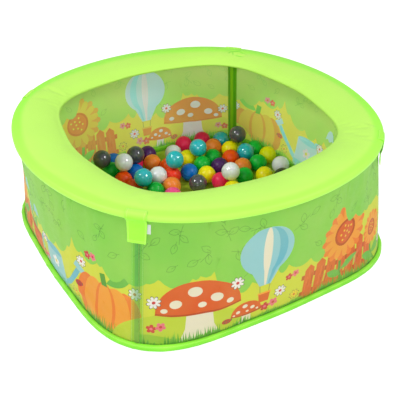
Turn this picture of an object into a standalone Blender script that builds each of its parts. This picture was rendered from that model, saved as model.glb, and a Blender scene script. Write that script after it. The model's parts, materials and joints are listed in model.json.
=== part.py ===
"""Pop-up ball pit: printed fabric walls on sprung steel hoops, a padded rim, and loose balls.

Metres, +Z up. The underside of the floor sheet is z = 0 and the middle of the pit is the origin.
The sides run along X and Y, and the four corner posts stand on the diagonals.
"""

from math import asin, atan2, cos, hypot, pi, radians, sin, sqrt

import bmesh
import bpy

# Plan outlines: half across the sides, half across the corners, and how far the
# outline is drawn in between the two.
BASE_HALF_SIDE = 0.435
BASE_HALF_DIAGONAL = 0.516
BASE_DRAW_IN = 0.0112
RIM_SIDE_OVERHANG = 0.021
RIM_CORNER_INSET = 0.044
RIM_HALF_SIDE = BASE_HALF_SIDE + RIM_SIDE_OVERHANG
RIM_HALF_DIAGONAL = BASE_HALF_DIAGONAL - RIM_CORNER_INSET
RIM_DRAW_IN = 0.002
RIM_SIDE_WIDTH = 0.128
RIM_CORNER_WIDTH = 0.1115
MOUTH_HALF_SIDE = RIM_HALF_SIDE - RIM_SIDE_WIDTH
MOUTH_HALF_DIAGONAL = RIM_HALF_DIAGONAL - RIM_CORNER_WIDTH
MOUTH_DRAW_IN = 0.0077
PLAN_STEPS = 64
CORNER_CROWDING_SHARE = 0.4

# Padded rim, seen in section. Its outer edge is a half round and its mouth edge a thin one.
RIM_HEIGHT = 0.334
MOUTH_DROP = 0.007
RIM_EDGE_RADIUS = 0.009
MOUTH_EDGE_RADIUS = 0.005
RIM_CROWN = 0.003
COVER_THICKNESS = 0.0012
EDGE_ANGLES = tuple(radians(degrees) for degrees in (90, 45, 0, -45, -90))
MOUTH_ANGLES = tuple(radians(degrees) for degrees in (-90, -135, -180, -225, -270))

# Clearance between pieces that touch or are sewn together.
FIT_GAP = 0.0003

# Sprung steel hoops, each closed by a crimped ferrule.
WIRE_DIAMETER = 0.004
WIRE_SIDES = 6
WIRE_END_GAP = 0.001
FERRULE_DIAMETER = 0.0062
FERRULE_LENGTH = 0.028
FERRULE_SIDES = 8

# Floor sheet and the binding that holds the base hoop, the floor's edge and the walls' lower edge.
FLOOR_THICKNESS = 0.001
BINDING_WIDTH = 0.0175
BINDING_HEIGHT = 0.015
BINDING_ROUND = 0.0035
BORE_HEIGHT = 0.0058
BORE_SIDES = 6

# Walls: two printed panels, each going round half of the pit.
WALL_THICKNESS = 0.001
WALL_BOTTOM_INSET = 0.011
WALL_TOP_INSET = 0.0125
SEAM_GAP = 0.0006
SEAM_RADIUS = min(BASE_HALF_DIAGONAL, RIM_HALF_DIAGONAL)

# Corner posts, each in a sleeve sewn on the inside of the wall.
POST_DIAMETER = 0.0105
POST_BORE = 0.0075
POST_SIDES = 10
SLEEVE_WIDTH = 0.028
SLEEVE_THICKNESS = 0.0012
SLEEVE_ARC_STEPS = 4
SLEEVE_SEAT_GAP = 0.0006

# Corner tabs: a strap over the rim that grips a patch on the wall.
TAB_WIDTH = 0.046
TAB_TIP_WIDTH = 0.041
TAB_THICKNESS = 0.0015
TAB_LEAD = 0.006
TAB_DROP = 0.063
PATCH_DROP = 0.020
PATCH_HEIGHT = 0.022
PATCH_THICKNESS = 0.0012
HOOK_PATCH_WIDTH = 0.042
HOOK_PATCH_SHIFT = 0.004
LOOP_PATCH_WIDTH = 0.032

# Loose balls.
BALL_DIAMETER = 0.055
BALL_GAP = 0.0002
BALL_SEGMENTS = 16
BALL_RINGS = 8

CORNERS = (("right", 315), ("back", 45), ("left", 135), ("front", 225))

# Colour, direction in degrees and share of the way from the middle to the furthest place on the
# floor that a ball can lie in. A ball comes after the ones that it lies on.
BALL_PLACE_SHARES = (
    ("green", 107.08, 0.8676),
    ("crimson", 93.61, 0.8720),
    ("blue", 98.57, 0.7407),
    ("orange_red", 109.59, 0.6893),
    ("orange_red", 112.82, 0.5467),
    ("green", 103.59, 0.4277),
    ("orange", 84.65, 0.4221),
    ("red", 78.24, 0.5577),
    ("yellow", 64.24, 0.7345),
    ("orange", 50.90, 0.8444),
    ("green", 54.89, 0.6044),
    ("yellow", 42.77, 0.8301),
    ("orange_red", 39.95, 0.7187),
    ("crimson", 36.22, 0.4210),
    ("yellow", 18.73, 0.4141),
    ("green", 24.91, 0.8178),
    ("green", 32.45, 0.9433),
    ("dark_grey", 110.87, 0.8783),
    ("white", 106.50, 0.7272),
    ("dark_grey", 95.42, 0.8033),
    ("teal", 109.59, 0.4823),
    ("white", 91.49, 0.5430),
    ("teal", 75.83, 0.5553),
    ("teal", 57.90, 0.6872),
    ("dark_grey", 40.15, 0.8851),
    ("teal", 33.92, 0.8205),
    ("white", 26.57, 0.4475),
)

# sRGB colour, roughness and metallic value of each material.
FINISHES = {
    "lime_cover": ((0.76, 0.98, 0.42), 0.55, 0.0),
    "lime_binding": ((0.60, 0.94, 0.27), 0.6, 0.0),
    "lime_floor": ((0.66, 0.82, 0.16), 0.65, 0.0),
    "printed_wall": ((0.48, 0.77, 0.35), 0.7, 0.0),
    "green_sleeve": ((0.42, 0.70, 0.03), 0.65, 0.0),
    "bright_tab": ((0.65, 0.98, 0.27), 0.6, 0.0),
    "white_hook": ((0.86, 0.87, 0.86), 0.8, 0.0),
    "lime_loop": ((0.60, 0.86, 0.30), 0.9, 0.0),
    "white_foam": ((0.93, 0.93, 0.90), 0.9, 0.0),
    "black_post": ((0.10, 0.10, 0.11), 0.4, 0.0),
    "spring_steel": ((0.62, 0.62, 0.64), 0.3, 1.0),
    "green": ((0.0, 0.63, 0.24), 0.35, 0.0),
    "crimson": ((0.92, 0.12, 0.35), 0.35, 0.0),
    "blue": ((0.05, 0.36, 0.67), 0.35, 0.0),
    "orange_red": ((1.0, 0.31, 0.06), 0.35, 0.0),
    "orange": ((1.0, 0.47, 0.16), 0.35, 0.0),
    "red": ((0.96, 0.20, 0.08), 0.35, 0.0),
    "yellow": ((1.0, 0.88, 0.02), 0.35, 0.0),
    "dark_grey": ((0.30, 0.30, 0.33), 0.35, 0.0),
    "white": ((0.85, 0.85, 0.88), 0.35, 0.0),
    "teal": ((0.13, 0.64, 0.67), 0.35, 0.0),
}
SHARP_ANGLE = radians(40)


def clear_scene():
    for found in list(bpy.data.objects):
        bpy.data.objects.remove(found, do_unlink=True)


def linear(value):
    """One sRGB channel as the linear value that a shader takes."""
    return value / 12.92 if value <= 0.04045 else ((value + 0.055) / 1.055) ** 2.4


def material(name):
    found = bpy.data.materials.get(name)
    if found:
        return found
    colour, roughness, metallic = FINISHES[name]
    made = bpy.data.materials.new(name)
    made.use_nodes = True
    shader = made.node_tree.nodes["Principled BSDF"]
    shader.inputs["Base Color"].default_value = [linear(c) for c in colour] + [1.0]
    shader.inputs["Roughness"].default_value = roughness
    shader.inputs["Metallic"].default_value = metallic
    return made


def add_object(name, bm, finish, smooth=True):
    """A named object from a closed bmesh, with its faces turned outwards."""
    bmesh.ops.recalc_face_normals(bm, faces=bm.faces)
    mesh = bpy.data.meshes.new(name)
    bm.to_mesh(mesh)
    bm.free()
    if smooth:
        mesh.shade_smooth()
        mesh.set_sharp_from_angle(angle=SHARP_ANGLE)
    mesh.materials.append(material(finish))
    made = bpy.data.objects.new(name, mesh)
    bpy.context.scene.collection.objects.link(made)
    return made


def outline(half_side, half_diagonal, draw_in):
    """A rounded square: the distance from the middle to the outline at an angle."""

    def radius(angle):
        middle = (half_side + half_diagonal) / 2
        swing = (half_diagonal - half_side) / 2
        return middle - swing * cos(4 * angle) - draw_in * (1 - cos(8 * angle)) / 2

    return radius


base_line = outline(BASE_HALF_SIDE, BASE_HALF_DIAGONAL, BASE_DRAW_IN)
rim_line = outline(RIM_HALF_SIDE, RIM_HALF_DIAGONAL, RIM_DRAW_IN)
mouth_line = outline(MOUTH_HALF_SIDE, MOUTH_HALF_DIAGONAL, MOUTH_DRAW_IN)


def inside(line, inset):
    """The outline moved towards the middle by inset."""
    return lambda angle: line(angle) - inset


def halfway(line, other):
    return lambda angle: (line(angle) + other(angle)) / 2


def plan_angle(step):
    """The angle of a plan step. Steps lie closer together at the corners."""
    turn = 2 * pi * step / PLAN_STEPS
    return turn + CORNER_CROWDING_SHARE / 4 * sin(4 * turn)


def plan_angles():
    return [plan_angle(step) for step in range(PLAN_STEPS)]


def sweep(name, profile, angles, finish, closed=True):
    """A profile of (outline, height) points carried round the plan angles."""
    bm = bmesh.new()
    rows = []
    for angle in angles:
        row = []
        for line, height in profile:
            radius = line(angle)
            row.append(bm.verts.new((radius * cos(angle), radius * sin(angle), height)))
        rows.append(row)
    following = rows[1:] + rows[:1] if closed else rows[1:]
    for row, after in zip(rows, following):
        for here in range(len(profile)):
            there = (here + 1) % len(profile)
            rises = profile[here][1] <= profile[there][1]
            low, high = (here, there) if rises else (there, here)
            bm.faces.new((row[low], after[low], after[high]))
            bm.faces.new((row[low], after[high], row[high]))
    if not closed:
        bm.faces.new(rows[0])
        bm.faces.new(rows[-1])
    return add_object(name, bm, finish)


def rim_section(skin):
    """The rim's outer surface moved in by skin, from under its outer edge round to under its mouth."""
    points = []
    for angle in reversed(EDGE_ANGLES):
        reach = (RIM_EDGE_RADIUS - skin) * cos(angle)
        height = RIM_HEIGHT + (RIM_EDGE_RADIUS - skin) * sin(angle)
        points.append((inside(rim_line, RIM_EDGE_RADIUS - reach), height))
    mouth_height = RIM_HEIGHT - MOUTH_DROP
    crown_height = (RIM_HEIGHT + RIM_EDGE_RADIUS + mouth_height + MOUTH_EDGE_RADIUS) / 2 + RIM_CROWN
    points.append((halfway(rim_line, mouth_line), crown_height - skin))
    for angle in reversed(MOUTH_ANGLES):
        reach = (MOUTH_EDGE_RADIUS - skin) * cos(angle)
        height = mouth_height + (MOUTH_EDGE_RADIUS - skin) * sin(angle)
        points.append((inside(mouth_line, -MOUTH_EDGE_RADIUS - reach), height))
    return points


def underside_height():
    """The level of the rim's underside over the sleeves' inner faces, where the walls, posts and sleeves end."""
    reach = WALL_TOP_INSET + WALL_THICKNESS + POST_DIAMETER + 2 * SLEEVE_THICKNESS
    width = min(RIM_SIDE_WIDTH, RIM_CORNER_WIDTH) - RIM_EDGE_RADIUS - MOUTH_EDGE_RADIUS
    edge = RIM_HEIGHT - RIM_EDGE_RADIUS
    mouth = RIM_HEIGHT - MOUTH_DROP - MOUTH_EDGE_RADIUS
    return edge + min(mouth - edge, 0) * min((reach - RIM_EDGE_RADIUS) / width, 1)


def build_rim_covers():
    outer = rim_section(0)
    inner = rim_section(COVER_THICKNESS)
    sweep("rim_cover_top", outer + inner[::-1], plan_angles(), "lime_cover")
    rim_seam = inside(rim_line, RIM_EDGE_RADIUS + FIT_GAP)
    mouth_seam = inside(mouth_line, -MOUTH_EDGE_RADIUS - FIT_GAP)
    underside = [
        (rim_seam, outer[0][1]),
        (rim_seam, inner[0][1]),
        (mouth_seam, inner[-1][1]),
        (mouth_seam, outer[-1][1]),
    ]
    sweep("rim_cover_underside", underside, plan_angles(), "lime_cover")


def rim_hoop_place():
    """Outline and height of the wire at the walls' upper edge, in its groove in the foam."""
    line = inside(rim_line, WALL_TOP_INSET + WALL_THICKNESS / 2)
    return line, RIM_HEIGHT - RIM_EDGE_RADIUS + COVER_THICKNESS + FIT_GAP + FERRULE_DIAMETER / 2


def mouth_hoop_place():
    return inside(mouth_line, -MOUTH_EDGE_RADIUS), RIM_HEIGHT - MOUTH_DROP


def base_hoop_place():
    return inside(base_line, WALL_BOTTOM_INSET + WALL_THICKNESS / 2), BORE_HEIGHT


def build_rim_foam():
    """The padding: it fills the covers, with a groove below for the hoop and an end behind the mouth hoop."""
    skin = COVER_THICKNESS + FIT_GAP
    section = rim_section(skin)
    edge, crown, mouth_top, mouth_bottom = section[:5], section[5], section[6], section[-1]
    hoop_inset = WALL_TOP_INSET + WALL_THICKNESS / 2
    groove_half = FERRULE_DIAMETER / 2 + FIT_GAP
    groove_outer = inside(rim_line, hoop_inset - groove_half)
    groove_inner = inside(rim_line, hoop_inset + groove_half)
    groove_top = rim_hoop_place()[1] + groove_half
    bottom = edge[0][1]
    end = inside(mouth_line, -2 * MOUTH_EDGE_RADIUS - FIT_GAP)
    profile = edge + [crown, (end, mouth_top[1]), (end, mouth_bottom[1])]
    profile += [
        (groove_inner, bottom),
        (groove_inner, groove_top),
        (groove_outer, groove_top),
        (groove_outer, bottom),
    ]
    sweep("rim_foam", profile, plan_angles(), "white_foam")


def build_hoop(name, place, side):
    """A wire ring whose ends meet in the middle of the plan step after the middle of a side."""
    line, height = place
    first = side * PLAN_STEPS // 4
    start = (plan_angle(first) + plan_angle(first + 1)) / 2
    half_gap = WIRE_END_GAP / 2 / line(start)
    angles = [start + half_gap]
    angles += [plan_angle(first + step) for step in range(1, PLAN_STEPS + 1)]
    angles += [start + 2 * pi - half_gap]
    ends = {angles[0], angles[-1]}
    chord_line = chord_between(line, plan_angle(first), plan_angle(first + 1))
    radius = WIRE_DIAMETER / 2

    def wire_line(reach):
        return lambda angle: (chord_line if angle in ends else line)(angle) + reach

    profile = []
    for side_index in range(WIRE_SIDES):
        around = 2 * pi * side_index / WIRE_SIDES
        profile.append((wire_line(radius * cos(around)), height + radius * sin(around)))
    sweep(name, profile, angles, "spring_steel", closed=False)


def chord_between(line, low, high):
    """The straight stretch between two angles of an outline, as a distance from the middle."""
    low_x, low_y = line(low) * cos(low), line(low) * sin(low)
    run_x = line(high) * cos(high) - low_x
    run_y = line(high) * sin(high) - low_y

    def radius(angle):
        return (low_x * run_y - low_y * run_x) / (cos(angle) * run_y - sin(angle) * run_x)

    return radius


def build_ferrule(name, place, side):
    """A crimped tube on the straight stretch where the wire's ends meet."""
    line, height = place
    first = side * PLAN_STEPS // 4
    low, high = plan_angle(first), plan_angle(first + 1)
    low_x, low_y = line(low) * cos(low), line(low) * sin(low)
    run_x, run_y = line(high) * cos(high) - low_x, line(high) * sin(high) - low_y
    length = hypot(run_x, run_y)
    along_x, along_y = run_x / length, run_y / length
    middle = (low + high) / 2
    centre = chord_between(line, low, high)(middle)
    bore_radius = (WIRE_DIAMETER / 2 + FIT_GAP) / cos(pi / FERRULE_SIDES)
    bm = bmesh.new()
    loops = []
    for offset in (-FERRULE_LENGTH / 2, FERRULE_LENGTH / 2):
        for radius in (FERRULE_DIAMETER / 2, bore_radius):
            loop = []
            for side_index in range(FERRULE_SIDES):
                around = 2 * pi * (side_index + 0.5) / FERRULE_SIDES
                outward = radius * cos(around)
                x = centre * cos(middle) + along_x * offset + along_y * outward
                y = centre * sin(middle) + along_y * offset - along_x * outward
                loop.append(bm.verts.new((x, y, height + radius * sin(around))))
            loops.append(loop)
    outer_start, bore_start, outer_end, bore_end = loops
    for one, other in (
        (outer_start, outer_end),
        (bore_start, bore_end),
        (outer_start, bore_start),
        (outer_end, bore_end),
    ):
        for here in range(FERRULE_SIDES):
            there = (here + 1) % FERRULE_SIDES
            bm.faces.new((one[here], one[there], other[there], other[here]))
    add_object(name, bm, "spring_steel")


def bore_corner_radius():
    return (FERRULE_DIAMETER / 2 + FIT_GAP) / cos(pi / BORE_SIDES)


def build_binding():
    """The hem round the base. A slit in its top takes the walls, over a bore for the hoop."""
    slit_middle = WALL_BOTTOM_INSET + WALL_THICKNESS / 2
    slit_half = WALL_THICKNESS / 2 + FIT_GAP
    corner_radius = bore_corner_radius()
    slit_bottom = BORE_HEIGHT + sqrt(corner_radius**2 - slit_half**2)
    profile = [
        (inside(base_line, BINDING_WIDTH), 0),
        (inside(base_line, BINDING_ROUND), 0),
        (base_line, BINDING_ROUND),
        (base_line, BINDING_HEIGHT - BINDING_ROUND),
        (inside(base_line, BINDING_ROUND), BINDING_HEIGHT),
        (inside(base_line, slit_middle - slit_half), BINDING_HEIGHT),
        (inside(base_line, slit_middle - slit_half), slit_bottom),
    ]
    for corner in range(1, BORE_SIDES):
        around = pi / 2 - 2 * pi * corner / BORE_SIDES
        inset = slit_middle - corner_radius * cos(around)
        profile.append((inside(base_line, inset), BORE_HEIGHT + corner_radius * sin(around)))
    profile += [
        (inside(base_line, slit_middle + slit_half), slit_bottom),
        (inside(base_line, slit_middle + slit_half), BINDING_HEIGHT),
        (inside(base_line, BINDING_WIDTH), BINDING_HEIGHT),
    ]
    sweep("base_binding", profile, plan_angles(), "lime_binding")


def build_floor():
    bm = bmesh.new()
    line = inside(base_line, BINDING_WIDTH + FIT_GAP)
    loops = []
    for height in (0, FLOOR_THICKNESS):
        loop = [
            bm.verts.new((line(angle) * cos(angle), line(angle) * sin(angle), height))
            for angle in plan_angles()
        ]
        bm.faces.new(loop)
        loops.append(loop)
    low, high = loops
    for here in range(PLAN_STEPS):
        there = (here + 1) % PLAN_STEPS
        bm.faces.new((low[here], low[there], high[there], high[here]))
    add_object("floor_sheet", bm, "lime_floor", smooth=False)


def wall_top_height():
    return underside_height() - FIT_GAP


def build_wall(name, first_corner):
    """A panel from one corner seam round two sides to the opposite corner."""
    first = first_corner * PLAN_STEPS // 8
    angles = [plan_angle(first + step) for step in range(PLAN_STEPS // 2 + 1)]
    seam_angle = SEAM_GAP / 2 / SEAM_RADIUS
    angles[0] += seam_angle
    angles[-1] -= seam_angle
    hem_height = BINDING_HEIGHT + FIT_GAP
    bottom = BORE_HEIGHT + bore_corner_radius() + FIT_GAP
    top = wall_top_height()
    profile = [
        (inside(base_line, WALL_BOTTOM_INSET), bottom),
        (inside(base_line, WALL_BOTTOM_INSET), hem_height),
        (inside(rim_line, WALL_TOP_INSET), top),
        (inside(rim_line, WALL_TOP_INSET + WALL_THICKNESS), top),
        (inside(base_line, WALL_BOTTOM_INSET + WALL_THICKNESS), hem_height),
        (inside(base_line, WALL_BOTTOM_INSET + WALL_THICKNESS), bottom),
    ]
    sweep(name, profile, angles, "printed_wall", closed=False)


def corner_sag(line, half_width):
    """How far a straight piece of this half width sits inside the corner of an outline."""
    corner = PLAN_STEPS // 8
    turn = plan_angle(corner + 1) - plan_angle(corner)
    neighbour = line(plan_angle(corner + 1))
    depth = line(plan_angle(corner)) - neighbour * cos(turn)
    return depth * half_width / (neighbour * sin(turn))


def sleeve_seat(line, inset):
    """Distance from the middle to the flat back of a sleeve, in a corner of the wall's inner face."""
    corner = plan_angle(PLAN_STEPS // 8)
    wall = inside(line, inset + WALL_THICKNESS)
    return wall(corner) - corner_sag(wall, SLEEVE_WIDTH / 2) - SLEEVE_SEAT_GAP


def corner_prism(outer_section, inner_section, degrees):
    """Two sections of (sideways, inwards) points, carried up from the base binding to the rim in a corner."""
    levels = (
        (sleeve_seat(base_line, WALL_BOTTOM_INSET), BINDING_HEIGHT + FIT_GAP),
        (sleeve_seat(rim_line, WALL_TOP_INSET), wall_top_height()),
    )
    angle = radians(degrees)
    bm = bmesh.new()
    loops = []
    for seat, height in levels:
        for points in (outer_section, inner_section):
            loop = []
            for sideways, inwards in points:
                out = seat - inwards
                x = out * cos(angle) - sideways * sin(angle)
                y = out * sin(angle) + sideways * cos(angle)
                loop.append(bm.verts.new((x, y, height)))
            loops.append(loop)
    return bm, loops


def arc_points(radius, centre_inwards, first, last, steps):
    """Points (sideways, inwards) on an arc, in degrees from the sideways direction."""
    points = []
    for step in range(steps + 1):
        around = radians(first + (last - first) * step / steps)
        points.append((radius * cos(around), centre_inwards + radius * sin(around)))
    return points


def build_post(corner, degrees):
    """A tube standing in its sleeve, with both ends open."""
    seat = POST_DIAMETER / 2 + FIT_GAP
    rings = [
        arc_points(diameter / 2, seat, 0, 360, POST_SIDES)[:-1]
        for diameter in (POST_DIAMETER, POST_BORE)
    ]
    bm, loops = corner_prism(rings[0], rings[1], degrees)
    outer_low, bore_low, outer_high, bore_high = loops
    for one, other in (
        (outer_low, outer_high),
        (bore_low, bore_high),
        (outer_low, bore_low),
        (outer_high, bore_high),
    ):
        for here in range(POST_SIDES):
            there = (here + 1) % POST_SIDES
            bm.faces.new((one[here], one[there], other[there], other[here]))
    add_object(f"post_{corner}", bm, "black_post")


def sleeve_strip(lift):
    """One face of the sleeve's strip: flat, over the post in a half round, and flat again."""
    middle = POST_DIAMETER / 2 + FIT_GAP
    radius = (middle + lift) / cos(pi / 2 / SLEEVE_ARC_STEPS)
    half = SLEEVE_WIDTH / 2
    points = [(half, lift), (radius, lift)]
    points += arc_points(radius, middle, 0, 180, SLEEVE_ARC_STEPS)
    points += [(-radius, lift), (-half, lift)]
    return points


def build_sleeve(corner, degrees):
    """A strip sewn to the wall along both edges, which makes the pocket for the post."""
    bm, loops = corner_prism(sleeve_strip(SLEEVE_THICKNESS), sleeve_strip(0), degrees)
    outer_low, inner_low, outer_high, inner_high = loops
    last = len(outer_low) - 1
    for here in range(last):
        there = here + 1
        bm.faces.new((outer_low[here], outer_low[there], outer_high[there], outer_high[here]))
        bm.faces.new((inner_low[here], inner_low[there], inner_high[there], inner_high[here]))
        bm.faces.new((outer_low[here], outer_low[there], inner_low[there], inner_low[here]))
        bm.faces.new((outer_high[here], outer_high[there], inner_high[there], inner_high[here]))
    for edge in (0, last):
        bm.faces.new((outer_low[edge], inner_low[edge], inner_high[edge], outer_high[edge]))
    add_object(f"post_sleeve_{corner}", bm, "green_sleeve")


def wall_face(height):
    """Distance from the middle to the wall's outer face in a corner, at a height."""
    corner = plan_angle(PLAN_STEPS // 8)
    low = base_line(corner) - WALL_BOTTOM_INSET
    high = rim_line(corner) - WALL_TOP_INSET
    hem_height = BINDING_HEIGHT + FIT_GAP
    share = (height - hem_height) / (wall_top_height() - hem_height)
    return low + (high - low) * share


def thickened(path, thickness):
    """The path moved to its left by thickness, with mitred corners."""
    moved = []
    for index, (x, z) in enumerate(path):
        normals = []
        for a, b in ((index - 1, index), (index, index + 1)):
            if a < 0 or b >= len(path):
                continue
            run_x, run_z = path[b][0] - path[a][0], path[b][1] - path[a][1]
            length = hypot(run_x, run_z)
            normals.append((-run_z / length, run_x / length))
        sum_x = sum(n[0] for n in normals)
        sum_z = sum(n[1] for n in normals)
        scale = thickness * len(normals) / (sum_x**2 + sum_z**2)
        moved.append((x + sum_x * scale, z + sum_z * scale))
    return moved


def tab_hinge():
    """Distance from the middle and height of the line that a tab folds about: its stitched upper edge."""
    corner = plan_angle(PLAN_STEPS // 8)
    out = rim_line(corner) - RIM_EDGE_RADIUS - TAB_LEAD
    return out, RIM_HEIGHT + RIM_EDGE_RADIUS + FIT_GAP + TAB_THICKNESS


def patch_levels():
    """Top and bottom height of the patches."""
    top = RIM_HEIGHT - PATCH_DROP
    return top, top - PATCH_HEIGHT


def tab_path():
    """The tab's inner face, from its stitched edge over the rim and down past the patch."""
    corner = plan_angle(PLAN_STEPS // 8)
    middle = rim_line(corner) - RIM_EDGE_RADIUS
    radius = RIM_EDGE_RADIUS + FIT_GAP
    patch_stack = 3 * FIT_GAP + 2 * PATCH_THICKNESS
    top, bottom = patch_levels()
    tip = RIM_HEIGHT - TAB_DROP
    path = [(wall_face(tip) + patch_stack, tip)]
    path += [(wall_face(height) + patch_stack, height) for height in (bottom, top)]
    path += [
        (middle + radius * cos(angle), RIM_HEIGHT + radius * sin(angle))
        for angle in reversed(EDGE_ANGLES[:4])
    ]
    path.append((middle - TAB_LEAD, RIM_HEIGHT + radius))
    return path


def extruded(section, widths, shift=0):
    """A closed section of (outwards, height) points with its own half width at each point."""
    bm = bmesh.new()
    near = []
    far = []
    for (out, height), width in zip(section, widths):
        near.append(bm.verts.new((out, shift - width / 2, height)))
        far.append(bm.verts.new((out, shift + width / 2, height)))
    for here in range(len(section)):
        there = (here + 1) % len(section)
        bm.faces.new((near[here], near[there], far[there], far[here]))
    return bm, near, far


def build_tab(corner, degrees):
    """The strap, and its loop patch, on an empty that lies on the folding line."""
    hinge_out, hinge_height = tab_hinge()
    angle = radians(degrees)
    hinge = bpy.data.objects.new(f"tab_hinge_{corner}", None)
    hinge.location = (hinge_out * cos(angle), hinge_out * sin(angle), hinge_height)
    hinge.rotation_euler = (0, 0, angle)
    bpy.context.scene.collection.objects.link(hinge)
    inner = tab_path()
    outer = thickened(inner, -TAB_THICKNESS)
    widths = [TAB_TIP_WIDTH] + [TAB_WIDTH] * (len(inner) - 1)
    section = [(out - hinge_out, height - hinge_height) for out, height in inner + outer[::-1]]
    bm, near, far = extruded(section, widths + widths[::-1])
    last = len(section) - 1
    for side in (near, far):
        for here in range(len(inner) - 1):
            there = here + 1
            bm.faces.new((side[here], side[there], side[last - there], side[last - here]))
    strap = add_object(f"corner_tab_{corner}", bm, "bright_tab")
    strap.parent = hinge
    near_face = 2 * FIT_GAP + PATCH_THICKNESS
    patch_section = patch_outline(near_face, hinge_out, hinge_height)
    patch = add_patch(f"tab_loop_patch_{corner}", patch_section, LOOP_PATCH_WIDTH, 0, "lime_loop")
    patch.parent = hinge


def patch_outline(near_face, hinge_out=0, hinge_height=0):
    """A patch seen from the side: near_face from the wall, and as thick as a patch is."""
    section = []
    far_face = near_face + PATCH_THICKNESS
    for reach, levels in ((near_face, patch_levels()), (far_face, patch_levels()[::-1])):
        for height in levels:
            section.append((wall_face(height) + reach - hinge_out, height - hinge_height))
    return section


def add_patch(name, section, width, shift, finish):
    bm, near, far = extruded(section, [width] * len(section), shift)
    bm.faces.new(near)
    bm.faces.new(far)
    return add_object(name, bm, finish, smooth=False)


def build_hook_patch(corner, degrees):
    """The patch sewn on the wall under the tab, a little to one side of it."""
    patch = add_patch(
        f"wall_hook_patch_{corner}",
        patch_outline(FIT_GAP),
        HOOK_PATCH_WIDTH,
        HOOK_PATCH_SHIFT,
        "white_hook",
    )
    patch.rotation_euler = (0, 0, radians(degrees))


def seat_height(apart_x, apart_y):
    """How much higher one ball's centre lies than another's that it touches, or None if it misses.

    The balls are faceted alike, so the offset between their centres ends on a ball of twice the size.
    """
    reach = BALL_DIAMETER + BALL_GAP
    half_step = pi / BALL_SEGMENTS
    off_middle = (atan2(apart_y, apart_x) % (2 * half_step)) - half_step
    apart = hypot(apart_x, apart_y) * cos(off_middle) / cos(half_step)
    if apart >= reach:
        return None
    ring_angle = pi / BALL_RINGS
    ring = int(asin(apart / reach) / ring_angle)
    near, far = reach * sin(ring * ring_angle), reach * sin((ring + 1) * ring_angle)
    top, low = reach * cos(ring * ring_angle), reach * cos((ring + 1) * ring_angle)
    return top + (low - top) * (apart - near) / (far - near)


def fallen(x, y, others):
    """Height at which a ball comes to rest at x, y: on the floor or on the balls already there."""
    height = FLOOR_THICKNESS + FIT_GAP + BALL_DIAMETER / 2
    for other_x, other_y, other_height in others:
        above = seat_height(x - other_x, y - other_y)
        if above is not None:
            height = max(height, other_height + above)
    return height


def build_balls():
    places = []
    for number, (colour, degrees, share) in enumerate(BALL_PLACE_SHARES, 1):
        angle = radians(degrees)
        furthest = base_line(angle) - BINDING_WIDTH - BALL_DIAMETER / 2
        x, y = share * furthest * cos(angle), share * furthest * sin(angle)
        places.append((x, y, fallen(x, y, places)))
        bm = bmesh.new()
        bmesh.ops.create_uvsphere(
            bm, u_segments=BALL_SEGMENTS, v_segments=BALL_RINGS, radius=BALL_DIAMETER / 2
        )
        ball = add_object(f"ball_{number:02d}_{colour}", bm, colour)
        ball.location = places[-1]


def build():
    clear_scene()
    build_floor()
    build_binding()
    build_wall("wall_panel_right", 5)
    build_wall("wall_panel_left", 1)
    build_rim_covers()
    build_rim_foam()
    for name, place, side in (
        ("base_hoop", base_hoop_place(), 0),
        ("rim_hoop", rim_hoop_place(), 1),
        ("mouth_hoop", mouth_hoop_place(), 2),
    ):
        build_hoop(name, place, side)
        build_ferrule(f"{name}_ferrule", place, side)
    for corner, degrees in CORNERS:
        build_post(corner, degrees)
        build_sleeve(corner, degrees)
        build_hook_patch(corner, degrees)
        build_tab(corner, degrees)
    build_balls()


build()
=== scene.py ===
"""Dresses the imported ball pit: printed cloth, padded rim, hems, tabs, glossy balls, light and camera."""

import json
from math import cos, hypot, pi, radians, sin, sqrt

import bpy
import numpy as np
from mathutils import Euler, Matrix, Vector, geometry

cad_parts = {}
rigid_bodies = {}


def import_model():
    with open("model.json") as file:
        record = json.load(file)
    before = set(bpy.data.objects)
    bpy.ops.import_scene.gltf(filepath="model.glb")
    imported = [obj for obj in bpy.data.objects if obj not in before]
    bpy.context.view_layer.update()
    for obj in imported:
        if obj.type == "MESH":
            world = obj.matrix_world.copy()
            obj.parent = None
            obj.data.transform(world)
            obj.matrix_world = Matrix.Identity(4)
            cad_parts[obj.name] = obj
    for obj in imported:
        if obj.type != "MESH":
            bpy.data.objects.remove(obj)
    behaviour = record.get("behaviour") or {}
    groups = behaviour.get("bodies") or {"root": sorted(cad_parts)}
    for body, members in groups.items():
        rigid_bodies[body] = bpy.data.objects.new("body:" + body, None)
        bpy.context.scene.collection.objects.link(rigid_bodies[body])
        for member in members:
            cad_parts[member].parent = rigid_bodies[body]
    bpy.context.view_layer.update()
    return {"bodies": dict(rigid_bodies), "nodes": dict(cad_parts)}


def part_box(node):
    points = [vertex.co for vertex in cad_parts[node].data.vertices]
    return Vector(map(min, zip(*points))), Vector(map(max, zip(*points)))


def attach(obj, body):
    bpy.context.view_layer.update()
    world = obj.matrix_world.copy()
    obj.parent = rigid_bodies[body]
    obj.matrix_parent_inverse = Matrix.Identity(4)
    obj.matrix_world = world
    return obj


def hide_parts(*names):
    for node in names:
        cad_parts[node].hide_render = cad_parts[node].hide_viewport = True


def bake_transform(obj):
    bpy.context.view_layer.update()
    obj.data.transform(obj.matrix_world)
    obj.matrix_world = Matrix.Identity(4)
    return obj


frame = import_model()

# Sizes in metres, as in the CAD source
CORNERS = {"front": 225, "right": 315, "back": 45, "left": 135}
RIM_HEIGHT, RIM_ROUND, MOUTH_ROUND, MOUTH_DROP = 0.334, 0.009, 0.005, 0.007
RIM_TOP = RIM_HEIGHT + RIM_ROUND
UNDERSIDE = RIM_HEIGHT - RIM_ROUND
HEM_TOP = 0.0153
WALL_TOP = UNDERSIDE - 0.0009
RIM_CORNER = 0.472
POST_OUT = (0.50215, RIM_CORNER - 0.01515)
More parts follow.
